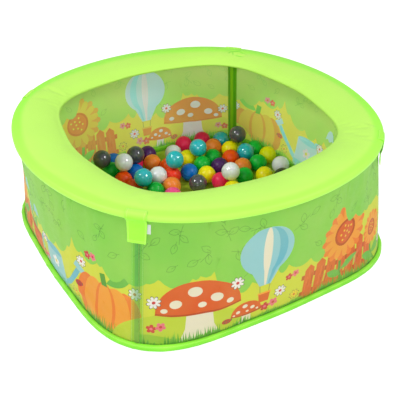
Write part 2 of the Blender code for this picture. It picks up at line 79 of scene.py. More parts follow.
# how far each tab sits to one side of its corner, and where the hem's seams are
TAB_LEAN = {"front": -0.0035, "right": -0.004, "back": -0.002, "left": -0.001}
TAB_SLACK = {"front": 0.001, "right": 0.0080, "back": 0.001, "left": 0.003}
HEM_SEAMS = (224.5, 44.2)
BALL_R = 0.0275
# how far inside the base's outline the wall stands at its foot, and inside the rim's at its top
WALL_INSETS = (0.0115, 0.013)
FLOOR_INSET, FLOOR_SIDE = 0.0179, 0.84
# thicknesses of the wall, the rim's covers, the floor, the tapes and the tabs
CLOTH, COVER_CLOTH, FLOOR_THICK, TAPE, TAB_THICK = 0.001, 0.0012, 0.0009, 0.0011, 0.0014
SETTLE_FRAMES = 14


def ring(half_side, half_diagonal, draw_in):
    """A rounded square: its radius at each angle."""

    def radius(t):
        mid, swing = (half_side + half_diagonal) / 2, (half_diagonal - half_side) / 2
        return mid - swing * np.cos(4 * t) - draw_in * (1 - np.cos(8 * t)) / 2

    return radius


base_ring = ring(0.435, 0.516, 0.0112)
rim_ring = ring(0.456, RIM_CORNER, 0.002)
mouth_ring = ring(0.328, 0.3605, 0.0077)


def srgb(r, g, b):
    """0-255 sRGB as a linear colour."""
    c = np.array([r, g, b]) / 255
    return tuple(np.where(c <= 0.04045, c / 12.92, ((c + 0.055) / 1.055) ** 2.4)) + (1.0,)


# Meshes
def circle(n):
    """n angles all the way round."""
    return np.arange(n) * 2 * pi / n


def polar(r, t, z):
    """Points at the distances r, the angles t and the heights z."""
    return np.stack([r * np.cos(t), r * np.sin(t), z + np.zeros_like(t)], -1)


def blank(n, m):
    """A net of points and of places on the cloth, to be filled."""
    return np.zeros((n, m, 3)), np.zeros((n, m, 2))


def left_of(line):
    """The direction to the left of a line of (x, y) points, at each of them."""
    along = np.gradient(line, axis=0)
    return np.stack([-along[:, 1], along[:, 0]], 1) / np.hypot(along[:, 0], along[:, 1])[:, None]


def mesh_object(name, verts, faces, *materials, smooth=True):
    mesh = bpy.data.meshes.new(name)
    mesh.from_pydata([tuple(v) for v in verts], [], [tuple(int(i) for i in f) for f in faces])
    mesh.validate()
    mesh.update()
    if smooth:
        mesh.shade_smooth()
    for m in materials:
        mesh.materials.append(m)
    obj = bpy.data.objects.new(name, mesh)
    bpy.context.scene.collection.objects.link(obj)
    return obj


def add_uv(obj, uv, name="cloth"):
    """One (u, v) for each vertex, in metres of cloth."""
    layer = obj.data.uv_layers.new(name=name)
    loops = np.zeros(len(obj.data.loops), int)
    obj.data.loops.foreach_get("vertex_index", loops)
    layer.data.foreach_set("uv", np.asarray(uv, float)[loops].ravel())


def add_value(obj, name, values):
    """A number from 0 to 1 for each vertex, for its material to read."""
    layer = obj.data.color_attributes.new(name, "FLOAT_COLOR", "POINT")
    v = np.clip(np.asarray(values, float).ravel(), 0, 1)
    layer.data.foreach_set("color", np.stack([v, v, v, np.ones_like(v)], 1).ravel())


def grid_faces(n, m, closed_n, closed_m=False, flip=False):
    """Quads of an n by m grid of vertices."""
    faces = []
    for i in range(n if closed_n else n - 1):
        for j in range(m if closed_m else m - 1):
            a, b = i * m + j, ((i + 1) % n) * m + j
            c, d = ((i + 1) % n) * m + (j + 1) % m, i * m + (j + 1) % m
            faces.append((a, d, c, b) if flip else (a, b, c, d))
    return faces


def loft(name, grid, material, closed=True, closed_section=False, uv=None, flip=False):
    """A surface through grid[n, m] points. uv[n, m] is in metres of cloth."""
    n, m = grid.shape[:2]
    faces = grid_faces(n, m, closed, closed_section, flip)
    obj = mesh_object(name, grid.reshape(-1, 3), faces, material)
    if uv is not None:
        add_uv(obj, uv.reshape(-1, 2))
    return obj


def solidify(obj, thickness, offset=-1.0):
    mod = obj.modifiers.new("thickness", "SOLIDIFY")
    mod.thickness, mod.offset, mod.use_even_offset = thickness, offset, False


def waves(t, seed, count, low, high):
    """A smooth repeatable wander round a closed ring, about -1 to 1."""
    rng = np.random.default_rng(seed)
    total = np.zeros_like(np.asarray(t, float))
    for _ in range(count):
        total = total + np.sin(rng.integers(low, high) * t + rng.uniform(0, 2 * pi)) * rng.uniform(0.5, 1)
    return total / (0.55 * count)


def smoothstep(x, low, high):
    s = np.clip((x - low) / (high - low), 0, 1)
    return s * s * (3 - 2 * s)


def settle(points, faces, held, slack, stiffness=15.0, pressure=0.0):
    """Lets a held cloth come to rest, a little longer than its space, and returns its points."""
    obj = mesh_object("settling", points, faces)
    obj.vertex_groups.new(name="held").add([int(i) for i in held], 1.0, "REPLACE")
    modifier = obj.modifiers.new("cloth", "CLOTH")
    settings, scene = modifier.settings, bpy.context.scene
    settings.quality, settings.mass = 5, 0.15
    settings.tension_stiffness = settings.compression_stiffness = stiffness
    settings.shear_stiffness, settings.bending_stiffness = stiffness / 3, 0.4
    settings.vertex_group_mass = "held"
    settings.shrink_min = -slack
    settings.use_pressure, settings.uniform_pressure_force = pressure > 0, pressure
    settings.effector_weights.gravity = 0.0 if pressure else 0.3
    modifier.collision_settings.use_collision = modifier.collision_settings.use_self_collision = False
    for number in range(1, SETTLE_FRAMES + 1):
        scene.frame_set(number)
    shape = obj.evaluated_get(bpy.context.evaluated_depsgraph_get()).to_mesh()
    out = np.zeros(len(points) * 3)
    shape.vertices.foreach_get("co", out)
    scene.frame_set(1)
    mesh = obj.data
    bpy.data.objects.remove(obj)
    bpy.data.meshes.remove(mesh)
    return out.reshape(-1, 3)


def capped(move, most):
    """Movements held softly under a length."""
    length = np.linalg.norm(move, axis=-1, keepdims=True) + 1e-9
    return move / length * most * np.tanh(length / most)


# Materials
class Nodes:
    """A material's node tree, with short calls."""

    def __init__(self, name, **shader):
        self.material = bpy.data.materials.new(name)
        self.material.use_nodes = True
        self.tree = self.material.node_tree
        self.bsdf = self.tree.nodes["Principled BSDF"]
        for key, value in shader.items():
            self.bsdf.inputs[key.replace("_", " ").title().replace("Ior", "IOR")].default_value = value

    def node(self, kind, **inputs):
        made = self.tree.nodes.new("ShaderNode" + kind)
        for key, value in inputs.items():
            if hasattr(made, key) and key not in made.inputs:
                setattr(made, key, value)
                continue
            self.join(value, made.inputs[key])
        return made

    def join(self, value, socket):
        if isinstance(value, bpy.types.NodeSocket):
            self.tree.links.new(value, socket)
        else:
            socket.default_value = value

    def math(self, operation, a, b=0.0, c=0.0, clamp=False):
        made = self.tree.nodes.new("ShaderNodeMath")
        made.operation, made.use_clamp = operation, clamp
        for value, socket in zip((a, b, c), made.inputs):
            self.join(value, socket)
        return made.outputs[0]

    def mix(self, share, a, b, blend="MIX"):
        made = self.tree.nodes.new("ShaderNodeMix")
        made.data_type, made.blend_type = "RGBA", blend
        self.join(share, made.inputs[0])
        self.join(a, made.inputs[6])
        self.join(b, made.inputs[7])
        return made.outputs[2]

    def ramp(self, value, low, high, to_low=0.0, to_high=1.0):
        made = self.tree.nodes.new("ShaderNodeMapRange")
        for v, key in ((value, 0), (low, 1), (high, 2), (to_low, 3), (to_high, 4)):
            self.join(v, made.inputs[key])
        return made.outputs[0]

    def noise(self, vector, scale, detail=2.0, roughness=0.5):
        made = self.node("TexNoise", Vector=vector, Scale=scale, Detail=detail, Roughness=roughness)
        return made.outputs[0]

    def place(self):
        return self.node("TexCoord").outputs["Object"]

    def cloth_uv(self):
        return self.node("UVMap", uv_map="cloth").outputs[0]

    def weave(self, uv, pitch):
        """Crossed threads: 0 to 1."""
        split = self.node("SeparateXYZ", Vector=uv)
        across = self.math("SINE", self.math("MULTIPLY", split.outputs[0], 2 * pi / pitch))
        along = self.math("SINE", self.math("MULTIPLY", split.outputs[1], 2 * pi / pitch))
        return self.math("MULTIPLY_ADD", self.math("MULTIPLY", across, along), 0.5, 0.5)

    def stitches(self, split, axis, at, pitch=0.0032):
        """A row of short dashes at a distance along one axis of the cloth, on both sides of zero."""
        row = self.math("COMPARE", self.math("ABSOLUTE", split[axis]), at, 0.0003)
        dash = self.math("PINGPONG", split[1 - axis], pitch / 2)
        return self.math("MULTIPLY", row, self.math("GREATER_THAN", dash, pitch * 0.14))

    def vector(self, operation, a, b, scale=1.0):
        made = self.tree.nodes.new("ShaderNodeVectorMath")
        made.operation = operation
        for value, socket in zip((a, b), made.inputs):
            self.join(value, socket)
        if operation == "SCALE":
            self.join(scale, made.inputs[3])
        return made.outputs[1 if operation in ("DOT_PRODUCT", "DISTANCE") else 0]

    def streak(self, flat, a, b, width):
        """1 on the line from a to b, fading out beside it and towards its ends."""
        run = (b[0] - a[0], b[1] - a[1], 0.0)
        off = self.vector("SUBTRACT", flat, (a[0], a[1], 0.0))
        along = self.vector("DOT_PRODUCT", off, run)
        along = self.math("DIVIDE", along, run[0] ** 2 + run[1] ** 2, clamp=True)
        side = self.vector("DISTANCE", off, self.vector("SCALE", run, (0.0, 0.0, 0.0), along))
        ends = self.ramp(self.math("PINGPONG", along, 0.5), 0.0, 0.25, 0.35, 1.0)
        return self.math("MULTIPLY", ends, self.math("POWER", self.ramp(side, 0.0, width, 1.0, 0.0), 1.5))

    def bump(self, height, distance, strength=1.0, normal=None):
        made = self.node("Bump", Height=height, Distance=distance, Strength=strength)
        if normal is not None:
            self.join(normal, made.inputs["Normal"])
        return made.outputs[0]

    def finish(self, colour, roughness, normal):
        """Gives the surface its colour, roughness and bumps."""
        for value, key in ((colour, "Base Color"), (roughness, "Roughness"), (normal, "Normal")):
            self.join(value, self.bsdf.inputs[key])
        return self.material


BLACK = (0.0, 0.0, 0.0, 1.0)


def cloth(name, colour, second, painted_light_colour=None, roughness=0.6, pitch=0.0016, crease=0.0006, rows=(), shaded_nips=()):
    """Woven coated cloth: a weave, slow creases, a slightly uneven colour, painted light and shade in a
    second colour where the mesh asks for it, rows of stitches at distances along the cloth's x (0) or y (1),
    and short sharp creases between places, darkened with painted shade."""
    m = Nodes(name, sheen_weight=0.06, sheen_roughness=0.4, specular_ior_level=0.35)
    place, threads = m.place(), m.weave(m.cloth_uv(), pitch)
    slow = m.noise(place, 9.0, 3.0)
    fine = m.noise(place, 160.0, 2.0)
    slow = m.ramp(slow, 0.3, 0.7, 0.0, 0.35)
    tone_and_painted_light = m.math("ADD", slow, m.ramp(fine, 0.3, 0.7, -0.05, 0.1), clamp=True)
    colour = m.mix(tone_and_painted_light, colour, second)
    if painted_light_colour:
        # painted light and shade: the colour is mixed towards painted_light_colour by the mesh's
        # tone_and_painted_light
        colour = m.mix(m.node("Attribute", attribute_name="tone_and_painted_light").outputs["Fac"], colour, painted_light_colour)
    colour = m.mix(m.ramp(threads, 0.0, 1.0, 0.10, 0.0), colour, BLACK)
    folds = m.bump(m.noise(place, 24.0, 3.0, 0.45), crease * 4, 0.5)
    folds = m.bump(threads, 0.00012, 0.35, folds)
    split = m.node("SeparateXYZ", Vector=m.cloth_uv()).outputs if rows else None
    for axis, at in rows:
        mask = m.stitches(split, axis, at)
        colour = m.mix(m.math("MULTIPLY", mask, 0.5), colour, srgb(228, 255, 160))
        folds = m.bump(mask, 0.0003, 0.6, folds)
    flat = m.vector("MULTIPLY", place, (1.0, 1.0, 0.0)) if shaded_nips else None
    for a, b, width, depth in shaded_nips:
        nip_shade = m.streak(flat, a, b, width)
        # painted shade darkens each nip, by its strength
        colour = m.mix(m.math("MULTIPLY", nip_shade, depth), colour, srgb(92, 220, 8))
        folds = m.bump(m.math("SUBTRACT", 1.0, nip_shade), 0.0012, 0.6, folds)
    return m.finish(colour, m.ramp(fine, 0.2, 0.8, roughness - 0.06, roughness + 0.08), folds)


def plain(name, colour, second, roughness, scale=60.0, depth=0.0001, **shader):
    """A moulded or metal surface with slight wear."""
    m = Nodes(name, **shader)
    grain = m.noise(m.place(), scale, 4.0, 0.6)
    colour = m.mix(m.ramp(grain, 0.35, 0.75), colour, second)
    roughness = m.ramp(grain, 0.3, 0.7, roughness * 0.85, roughness * 1.25)
    return m.finish(colour, roughness, m.bump(m.noise(m.place(), scale * 5, 2.0), depth, 0.4))


LIME = srgb(190, 246, 98)
LIME_DEEP = srgb(172, 240, 80)
# Where the cover is nipped beside the tabs, with painted shade in each nip: from (x, y) to (x, y), width, and
# strength of the painted shade.
SHADED_NIPS = (
    ((0.288, 0.293), (0.301, 0.296), 0.0045, 0.75),
    ((0.299, 0.297), (0.322, 0.276), 0.0050, 0.80),
    ((0.318, 0.282), (0.328, 0.257), 0.0045, 0.60),
    ((0.297, 0.270), (0.313, 0.251), 0.0045, 0.65),
    ((0.303, 0.293), (0.294, 0.275), 0.0040, 0.60),
)
COVER = cloth(
    "rim_cloth", LIME, srgb(198, 252, 106), srgb(162, 255, 66), roughness=0.5, crease=0.0004, shaded_nips=SHADED_NIPS
)
UNDER = cloth("rim_underside_cloth", LIME_DEEP, LIME, roughness=0.55)
BINDING = cloth(
    "binding_tape", srgb(120, 218, 40), srgb(136, 230, 52), srgb(158, 240, 70),
    roughness=0.5, pitch=0.0012, crease=0.0014, rows=((1, 0.0296),),
)
FLOOR = cloth("floor_cloth", srgb(172, 205, 40), srgb(186, 216, 62), roughness=0.6, crease=0.001)
SLEEVE = cloth(
    "sleeve_tape", srgb(106, 190, 6), srgb(118, 200, 12), srgb(150, 216, 22),
    roughness=0.6, pitch=0.0014, rows=((0, 0.0122),),
)
TAB = cloth(
    "tab_tape", srgb(154, 248, 56), srgb(162, 252, 64), srgb(188, 248, 98),
    roughness=0.5, pitch=0.0014, rows=((0, 0.0185), (1, 0.003), (1, 0.0815)),
)


def pile(name, colour, second, pitch, depth):
    """Hook or loop tape: rows of small bristles."""
    m = Nodes(name, sheen_weight=0.5, sheen_roughness=0.6)
    cells = m.node("TexVoronoi", Vector=m.cloth_uv(), Scale=1 / pitch, Randomness=0.55).outputs["Distance"]
    colour = m.mix(m.ramp(cells, 0.0, 0.7), colour, second)
    return m.finish(colour, 0.85, m.bump(m.math("SUBTRACT", 1.0, cells), depth, 0.8))


HOOK = pile("hook_tape", srgb(236, 238, 236), srgb(205, 210, 208), 0.0011, 0.0006)
LOOP = pile("loop_tape", srgb(168, 226, 92), srgb(140, 205, 70), 0.0008, 0.0004)
STEEL = plain("spring_steel", srgb(176, 176, 180), srgb(150, 150, 156), 0.32, metallic=1.0)
POST = plain("post_plastic", srgb(36, 36, 40), srgb(52, 52, 56), 0.4)
FOAM = plain("rim_foam", srgb(240, 240, 232), srgb(226, 226, 214), 0.9, 400.0, 0.0005)


# The print: flat shapes in centimetres along a side (x) and up it (y)
SHADES = {
    "meadow": (214, 224, 66),
    "hill": (194, 216, 60),
    "grass": (150, 200, 54),
    "hedge": (140, 214, 84),
    "hedge_dark": (104, 190, 76),
    "line": (100, 166, 66),
    "blade": (84, 172, 56),
    "blade_light": (128, 204, 62),
    "rust": (226, 98, 38),
    "rust_light": (238, 122, 56),
    "rust_dark": (192, 74, 28),
    "orange": (255, 164, 58),
    "orange_deep": (250, 130, 50),
    "blue": (150, 208, 216),
    "blue_deep": (108, 188, 206),
    "cream": (244, 234, 206),
    "white": (248, 246, 240),
    "ink": (96, 92, 72),
    "red": (208, 42, 58),
    "pink": (240, 112, 136),
    "yellow": (244, 220, 62),
    "stem": (84, 160, 56),
}


# where a hedge's ends are, how high its lower edge goes at most, and beyond the print's top
HEDGE_ENDS, HEDGE_LIMIT, OVER_TOP = 31, 32.8, 33
# a toadstool's spots: across, up and radius, as shares of its width, height and width
SPOTS = (
    (-0.27, 0.66, 0.07), (-0.05, 0.83, 0.085), (0.2, 0.70, 0.075),
    (0.36, 0.585, 0.045), (-0.40, 0.57, 0.04), (0.03, 0.60, 0.05),
)
BELL = ((0.5, 1.8), (1.3, 0.9), (1.9, -1.5), (1.0, -0.9), (0, -1.7))


def step(x, y, reach, turn):
    """The place at a distance from (x, y), in a direction."""
    return np.array([x + reach * cos(turn), y + reach * sin(turn)])


def curve(a, b, c, n=10):
    """A bent line from a to c, drawn towards b."""
    t = np.linspace(0, 1, n)[:, None]
    return (1 - t) ** 2 * np.array(a) + 2 * t * (1 - t) * np.array(b) + t * t * np.array(c)


class Art:
    """Shapes of the print, the lowest first."""

    def __init__(self):
        self.shapes = []
        self.shift = 0.0

    def add(self, points, shade):
        p = np.array(points, float)
        x, y = p[:, 0], p[:, 1]
        if (x * np.roll(y, -1) - np.roll(x, -1) * y).sum() < 0:
            p = p[::-1]
        self.shapes.append(((p + [self.shift, 0]) / 100, shade))

    def even(self, x, y, rows, shade):
        """A shape that is alike on both sides of x, from rows of (half width, height over y)."""
        left = [(x - w, y + h) for w, h in rows]
        self.add(left + [(x + w, y + h) for w, h in rows[::-1] if w], shade)

    def blob(self, x, y, rx, ry, shade, n=28):
        t = circle(n)
        self.add(np.stack([x + rx * np.cos(t), y + ry * np.sin(t)], 1), shade)

    def petals(self, x, y, r, count, shade, depth, turn, power=0.7):
        t = circle(count * 6)
        reach = r * (1 - depth + depth * np.abs(np.cos(count * t / 2)) ** power)
        self.add(np.stack([x + reach * np.cos(t + turn), y + reach * np.sin(t + turn)], 1), shade)

    def stroke(self, points, width, shade):
        p = np.array(points, float)
        off = left_of(p) * (width / 2)
        self.add(np.concatenate([p + off, (p - off)[::-1]]), shade)

    def leaf(self, x, y, length, width, turn, shade):
        tip, mid = step(x, y, length, turn), step(x, y, length / 2, turn)
        off = np.array([-sin(turn), cos(turn)]) * width
        one, other = curve((x, y), mid + off, tip, 8), curve(tip, mid - off, (x, y), 8)
        self.add(np.concatenate([one[:-1], other[:-1]]), shade)

    def leaf_line(self, x, y, length, turn):
        """The outline of a leaf, as drawn on the hedges."""
        tip, mid = step(x, y, length, turn), step(x, y, length / 2, turn)
        off = np.array([-sin(turn), cos(turn)]) * length * 0.55
        for sign in (1, -1):
            self.stroke(curve((x, y), mid + sign * off, tip, 7), 0.11, "line")
        self.stroke([(x - (tip[0] - x) * 0.25, y - (tip[1] - y) * 0.25), (x, y), mid], 0.1, "line")

    def sprig(self, x, y, size, turn):
        """Three outlined leaves on one stem."""
        end = step(x, y, size * 1.5, turn)
        bend = step(x, y, size * 0.9, turn + 0.3)
        self.stroke(curve(step(x, y, -size, turn), (x, y), bend, 6), 0.12, "line")
        self.leaf_line(*step(*end, -size * 0.6, turn), size, turn)
        self.leaf_line(x, y, size, turn + 1.15)
        self.leaf_line(*step(x, y, -size * 0.35, turn), size, turn - 1.15)

    def hedge(self, x0, x1, low, seed, bumps):
        """Foliage that hangs from the top edge, with a scalloped edge that bulges between x0 and x1."""
        rng = np.random.default_rng(seed)
        edge = []
        spans = np.linspace(0, 1, bumps + 1)
        spans[1:-1] += rng.uniform(-0.25, 0.25, bumps - 1) / bumps
        for k in range(bumps):
            for t in np.linspace(0, 1, 7)[:-1]:
                s = spans[k] + (spans[k + 1] - spans[k]) * t
                hang = low + (HEDGE_ENDS - low) * (2 * s - 1) ** 10 + 1.4 * sin(7 * s + seed)
                edge.append((x0 + (x1 - x0) * s, min(HEDGE_LIMIT, hang - 1.8 * sin(pi * t) ** 0.8)))
        edge += [(x1, OVER_TOP), (x0, OVER_TOP)]
        self.add(edge, "hedge")
        taken = []
        for _ in range(160):
            s = rng.uniform(0.1, 0.9)
            floor = low + (HEDGE_ENDS - low) * (2 * s - 1) ** 10
            x, y = x0 + (x1 - x0) * s, rng.uniform(floor + 2.5, 29.5)
            if floor < 26 and all(hypot(x - a, y - b) > 6.2 for a, b in taken):
                taken.append((x, y))
                draw = self.sprig if rng.random() < 0.6 else self.leaf_line
                draw(x, y, rng.uniform(2.0, 2.9), rng.uniform(0, 2 * pi))

    def turf(self, length, seed):
        """Blades of grass all along the foot, in clumps."""
        rng = np.random.default_rng(seed)
        for shade, reach in (("blade_light", 4.0), ("blade", 3.0)):
            points, x = [(0.0, -1.0)], 0.0
            while x < length - 0.9:
                swing = sin(2 * pi * (x / length * 9 + seed * 0.37 + reach))
                tall = 0.7 + reach * max(0.15, 0.55 + 0.45 * swing * rng.uniform(0.5, 1))
                wide = rng.uniform(0.45, 0.8)
                tip = x + wide * rng.uniform(0.1, 0.9)
                points += [(x, 1.0), (tip, 1.0 + tall * rng.uniform(0.35, 1))]
                x += wide
            points += [(x, 1.0), (length, 1.0), (length, -1.0)]
            self.add(points, shade)

    def tuft(self, x, y, height, blades, seed):
        rng = np.random.default_rng(seed)
        pitch, foot = 0.55, y - 0.6
        points = [(x, foot)]
        for k in range(blades):
            left = x + k * pitch
            tip = left + 0.2 + rng.uniform(-0.3, 0.3)
            points += [(left, y), (tip, y + height * rng.uniform(0.5, 1))]
        self.add(points + [(x + blades * pitch, y), (x + blades * pitch, foot)], "blade")

    def fence(self, x0, count, y, height, seed):
        """Pointed boards with grain, on two rails."""
        rng = np.random.default_rng(seed)
        pitch, wide = 3.5, 3.1
        left, right = x0 - 0.8, x0 + count * pitch + 0.4
        for rail in (0.3, 0.72):
            top = y + height * rail
            self.add([(left, top), (left, top - 1.5), (right, top - 1.5), (right, top)], "rust_dark")
        for k in range(count):
            x, h = x0 + k * pitch, height * rng.uniform(0.9, 1.05)
            tip, shoulder = (x + wide / 2, y + h), y + h - 1.4
            self.add([(x, y), (x + 0.1, shoulder), tip, (x + wide - 0.1, shoulder), (x + wide, y)], "rust")
            for _ in range(7):
                a, b = x + rng.uniform(0.35, wide - 0.35), y + rng.uniform(0.5, h - 4.5)
                grain = [(a, b), (a + 0.05, b + 1.2), (a, b + rng.uniform(1.8, 4.2))]
                width = rng.uniform(0.12, 0.26)
                self.stroke(grain, width, "rust_dark" if rng.random() < 0.6 else "rust_light")

    def watering_can(self, x, y, w):
        """A can as wide as w at its foot, with its spout to the right."""
        start, bend, end = ((x + w * a, y + w * b) for a, b in ((0.42, 0.25), (0.75, 0.4), (1.1, 1.02)))
        self.stroke(curve(start, bend, end, 9), w * 0.13, "blue_deep")
        rose = ((0.98, 1.12), (1.26, 0.92), (1.34, 1.06), (1.06, 1.26))
        self.add([(x + w * a, y + w * b) for a, b in rose], "blue")
        t = np.linspace(0.45 * pi, 1.35 * pi, 12)
        handle = np.stack([x - w * 0.36 + w * 0.42 * np.cos(t), y + w * 0.58 + w * 0.42 * np.sin(t)], 1)
        self.stroke(handle, w * 0.09, "blue_deep")
        self.even(x, y, ((w * 0.5, 0), (w * 0.4, w * 0.92)), "blue")
        self.even(x, y, ((w * 0.49, w * 0.12), (w * 0.475, w * 0.26)), "blue_deep")
        self.blob(x, y + w * 0.92, w * 0.4, w * 0.1, "blue_deep", 20)
        self.petals(x, y + w * 0.56, w * 0.16, 5, "white", 0.4, 0.3)
        self.blob(x, y + w * 0.56, w * 0.05, w * 0.05, "yellow", 8)

    def daisy(self, x, y, r=1.5, shade="white"):
        self.petals(x, y, r * 1.12, 8, "ink", 0.45, 0.3)
        self.petals(x, y, r, 8, shade, 0.5, 0.3)
        self.blob(x, y, r * 0.26, r * 0.26, "red" if shade == "white" else "rust", 10)

    def blossoms(self, x, y, size=1.0):
        """A red and a pink flower side by side, each with the other's colour in its middle."""
        x2, y2 = x + 2.3 * size, y + 0.5 * size
        self.petals(x, y, 1.35 * size, 5, "red", 0.4, 0.2)
        self.petals(x2, y2, 1.35 * size, 5, "pink", 0.4, 0.9)
        self.blob(x, y, 0.4 * size, 0.4 * size, "pink", 10)
        self.blob(x2, y2, 0.4 * size, 0.4 * size, "red", 10)

    def sunflower(self, x, y, r, turn):
        self.stroke(curve((x + 1.5, 0), (x - 2.5, y * 0.5), (x, y - r * 0.4)), 0.9, "stem")
        self.leaf(x - 0.4, y * 0.32, 6.5, 2.6, 0.5, "hedge_dark")
        self.leaf(x + 0.2, y * 0.22, 6.0, 2.6, 2.6, "hedge_dark")
        self.petals(x, y, r, 14, "orange_deep", 0.34, 0.1 + turn, 0.6)
        self.petals(x, y, r * 0.92, 14, "orange", 0.38, 0.32 + turn, 0.6)
        self.blob(x, y, r * 0.46, r * 0.46, "rust_dark", 24)
        self.blob(x, y, r * 0.38, r * 0.38, "rust", 22)
        for k in range(9):
            seed = step(x, y, r * 0.1 * sqrt(k + 0.4), k * 2.4)
            self.blob(*seed, r * 0.04, r * 0.04, "yellow", 6)

    def toadstool(self, x, y, width, height):
        stem = width * 0.17
        self.even(x, y, ((stem * 1.5, 0), (stem, height * 0.25), (stem * 0.8, height * 0.62)), "cream")
        t = np.linspace(0, pi, 22)
        up = y + height * 0.52 + height * 0.48 * np.sin(t) ** 0.85
        cap = np.stack([x + width / 2 * np.cos(t), up], 1)
        lip = curve(cap[-1], (x, y + height * 0.40), cap[0], 12)
        self.add(np.concatenate([cap, lip[1:-1]]), "rust")
        self.stroke(lip, 0.5, "rust_dark")
        for dx, dy, r in SPOTS:
            self.blob(x + dx * width, y + dy * height, r * width, r * width * 0.8, "cream", 16)

    def balloon(self, x, y, r, bands):
        """A striped hot-air balloon with its basket."""
        t = np.linspace(-0.32 * pi, 1.32 * pi, 30)
        skirt = y - r * 1.5
        body = [(x + r * cos(a), y + r * sin(a)) for a in t]
        self.add(body + [(x - r * 0.22, skirt), (x + r * 0.22, skirt)], "blue")
        for k in bands:
            half = []
            for reach in (r * (k - 0.16), r * (k + 0.16)):
                line = [(x + reach * cos(a), y + r * sin(a)) for a in np.linspace(pi / 2, -0.32 * pi, 12)]
                half.append(line + [(x + reach * 0.22, skirt)])
            self.add(half[0] + half[1][::-1], "blue_deep" if k != bands[0] else "cream")
        for side in (-1, 1):
            self.stroke([(x + side * r * 0.2, skirt), (x + side * r * 0.17, skirt - r * 0.4)], 0.14, "ink")
        w, top, low = r * 0.24, skirt - r * 0.38, skirt - r * 0.78
        self.even(x, 0, ((w, top), (w * 0.8, low)), "rust")
        self.even(x, 0, ((w * 1.1, top + 0.35), (w * 1.1, top - 0.2)), "orange")

    def pumpkin(self, x, y, rx, ry):
        for dx in (-0.62, 0.62, -0.34, 0.34, 0.0):
            wide, shade = rx * (0.42 if dx else 0.34), "orange" if abs(dx) == 0.34 else "orange_deep"
            self.blob(x + dx * rx, y, wide, ry * (1 - abs(dx) * 0.16), shade, 26)
        self.blob(x, y, rx * 0.24, ry * 0.97, "orange", 24)
        stem = ((-0.8, 0.86), (-1.4, 1.3), (0.2, 1.36), (0.9, 0.86))
        self.add([(x + dx, y + ry * up) for dx, up in stem], "stem")
        self.leaf(x + 0.6, y + ry * 1.0, rx * 0.8, rx * 0.3, 0.45, "hedge_dark")

    def pot(self, x, y, width, height):
        """Bellflowers in a clay pot."""
        brim = y + height
        for dx, top, bend in ((-3.4, 19.5, -4), (0.4, 23.5, 1), (3.8, 18.0, 4), (-1.4, 15.5, -1)):
            self.stroke(curve((x, brim), (x + dx * 0.3, y + top * 0.7), (x + dx, y + top), 9), 0.34, "stem")
            self.even(x + dx + bend * 0.25, y + top - 1.4, BELL, "blue" if dx > 0 else "blue_deep")
        for turn in (1.0, 2.1):
            self.leaf(x, brim, 7, 2.2, turn, "hedge_dark")
        w = width / 2
        self.even(x, y, ((w * 0.92, height), (w * 0.66, 0)), "rust")
        self.even(x, brim, ((w, 1.4), (w, -0.6)), "rust_dark")

    def beetle(self, x, y):
        self.blob(x + 0.9, y + 0.1, 0.5, 0.5, "ink", 10)
        self.blob(x, y, 1.15, 0.9, "red", 16)
        self.stroke([(x - 1.1, y), (x + 1.0, y)], 0.12, "ink")
        for dx, dy in ((-0.4, 0.42), (0.35, 0.4), (-0.4, -0.42), (0.35, -0.4)):
            self.blob(x + dx, y + dy, 0.2, 0.2, "ink", 8)

    def ground(self, length, seed):
        """A darker strip of grass along the foot, with a wavy edge."""
        x = np.linspace(0, length, 40)
        broad, narrow = np.sin(x * 2 * pi / length * 2 + seed), np.sin(x * 2 * pi / length * 5 + seed * 2)
        # both ends are at the same height, so that one side's grass meets the next side's
        end = 3.6 + 1.2 * sin(seed) + 0.8 * sin(2 * seed)
        y = 3.6 + 1.2 * broad + 0.8 * narrow - end + 3.8
        self.add(list(zip(x, y)) + [(length, -1), (0, -1)], "grass")

    def side_a(self, length):
        self.blob(10, 0, 17, 10, "hill", 40)
        self.blob(58, 0, 20, 8.5, "hill", 40)
        self.ground(length, 0.6)
        self.hedge(-14, 19, 18.5, 3, 6)
        self.hedge(15, 52, 14.0, 4, 7)
        self.hedge(49, 92, 19.0, 5, 8)
        self.fence(40.5, 7, 0.6, 12.5, 2)
        self.balloon(29.0, 21.5, 6.6, (0.0, 0.6))
        self.sunflower(53.0, 17.0, 8.2, 0.0)
        self.sunflower(66.0, 11.5, 4.8, 0.3)
        self.toadstool(13.2, 0.8, 19.5, 16.5)
        self.toadstool(24.5, 0.8, 8.0, 7.4)
        for x, y in ((3.2, 12.5), (33.5, 8.0), (22.0, 14.5), (71.0, 5.6)):
            self.daisy(x, y, 1.6)
        self.daisy(38.0, 4.8, 1.4, "yellow")
        self.blossoms(29.5, 4.6)
        self.blossoms(2.6, 5.6, 0.9)
        self.blossoms(35.6, 11.4, 0.8)
        self.beetle(19.6, 3.8)
        self.turf(length, 1)
        for x, n, seed in ((6.0, 22, 2), (46.0, 30, 4)):
            self.tuft(x, 1.2, 3.6, n, seed)

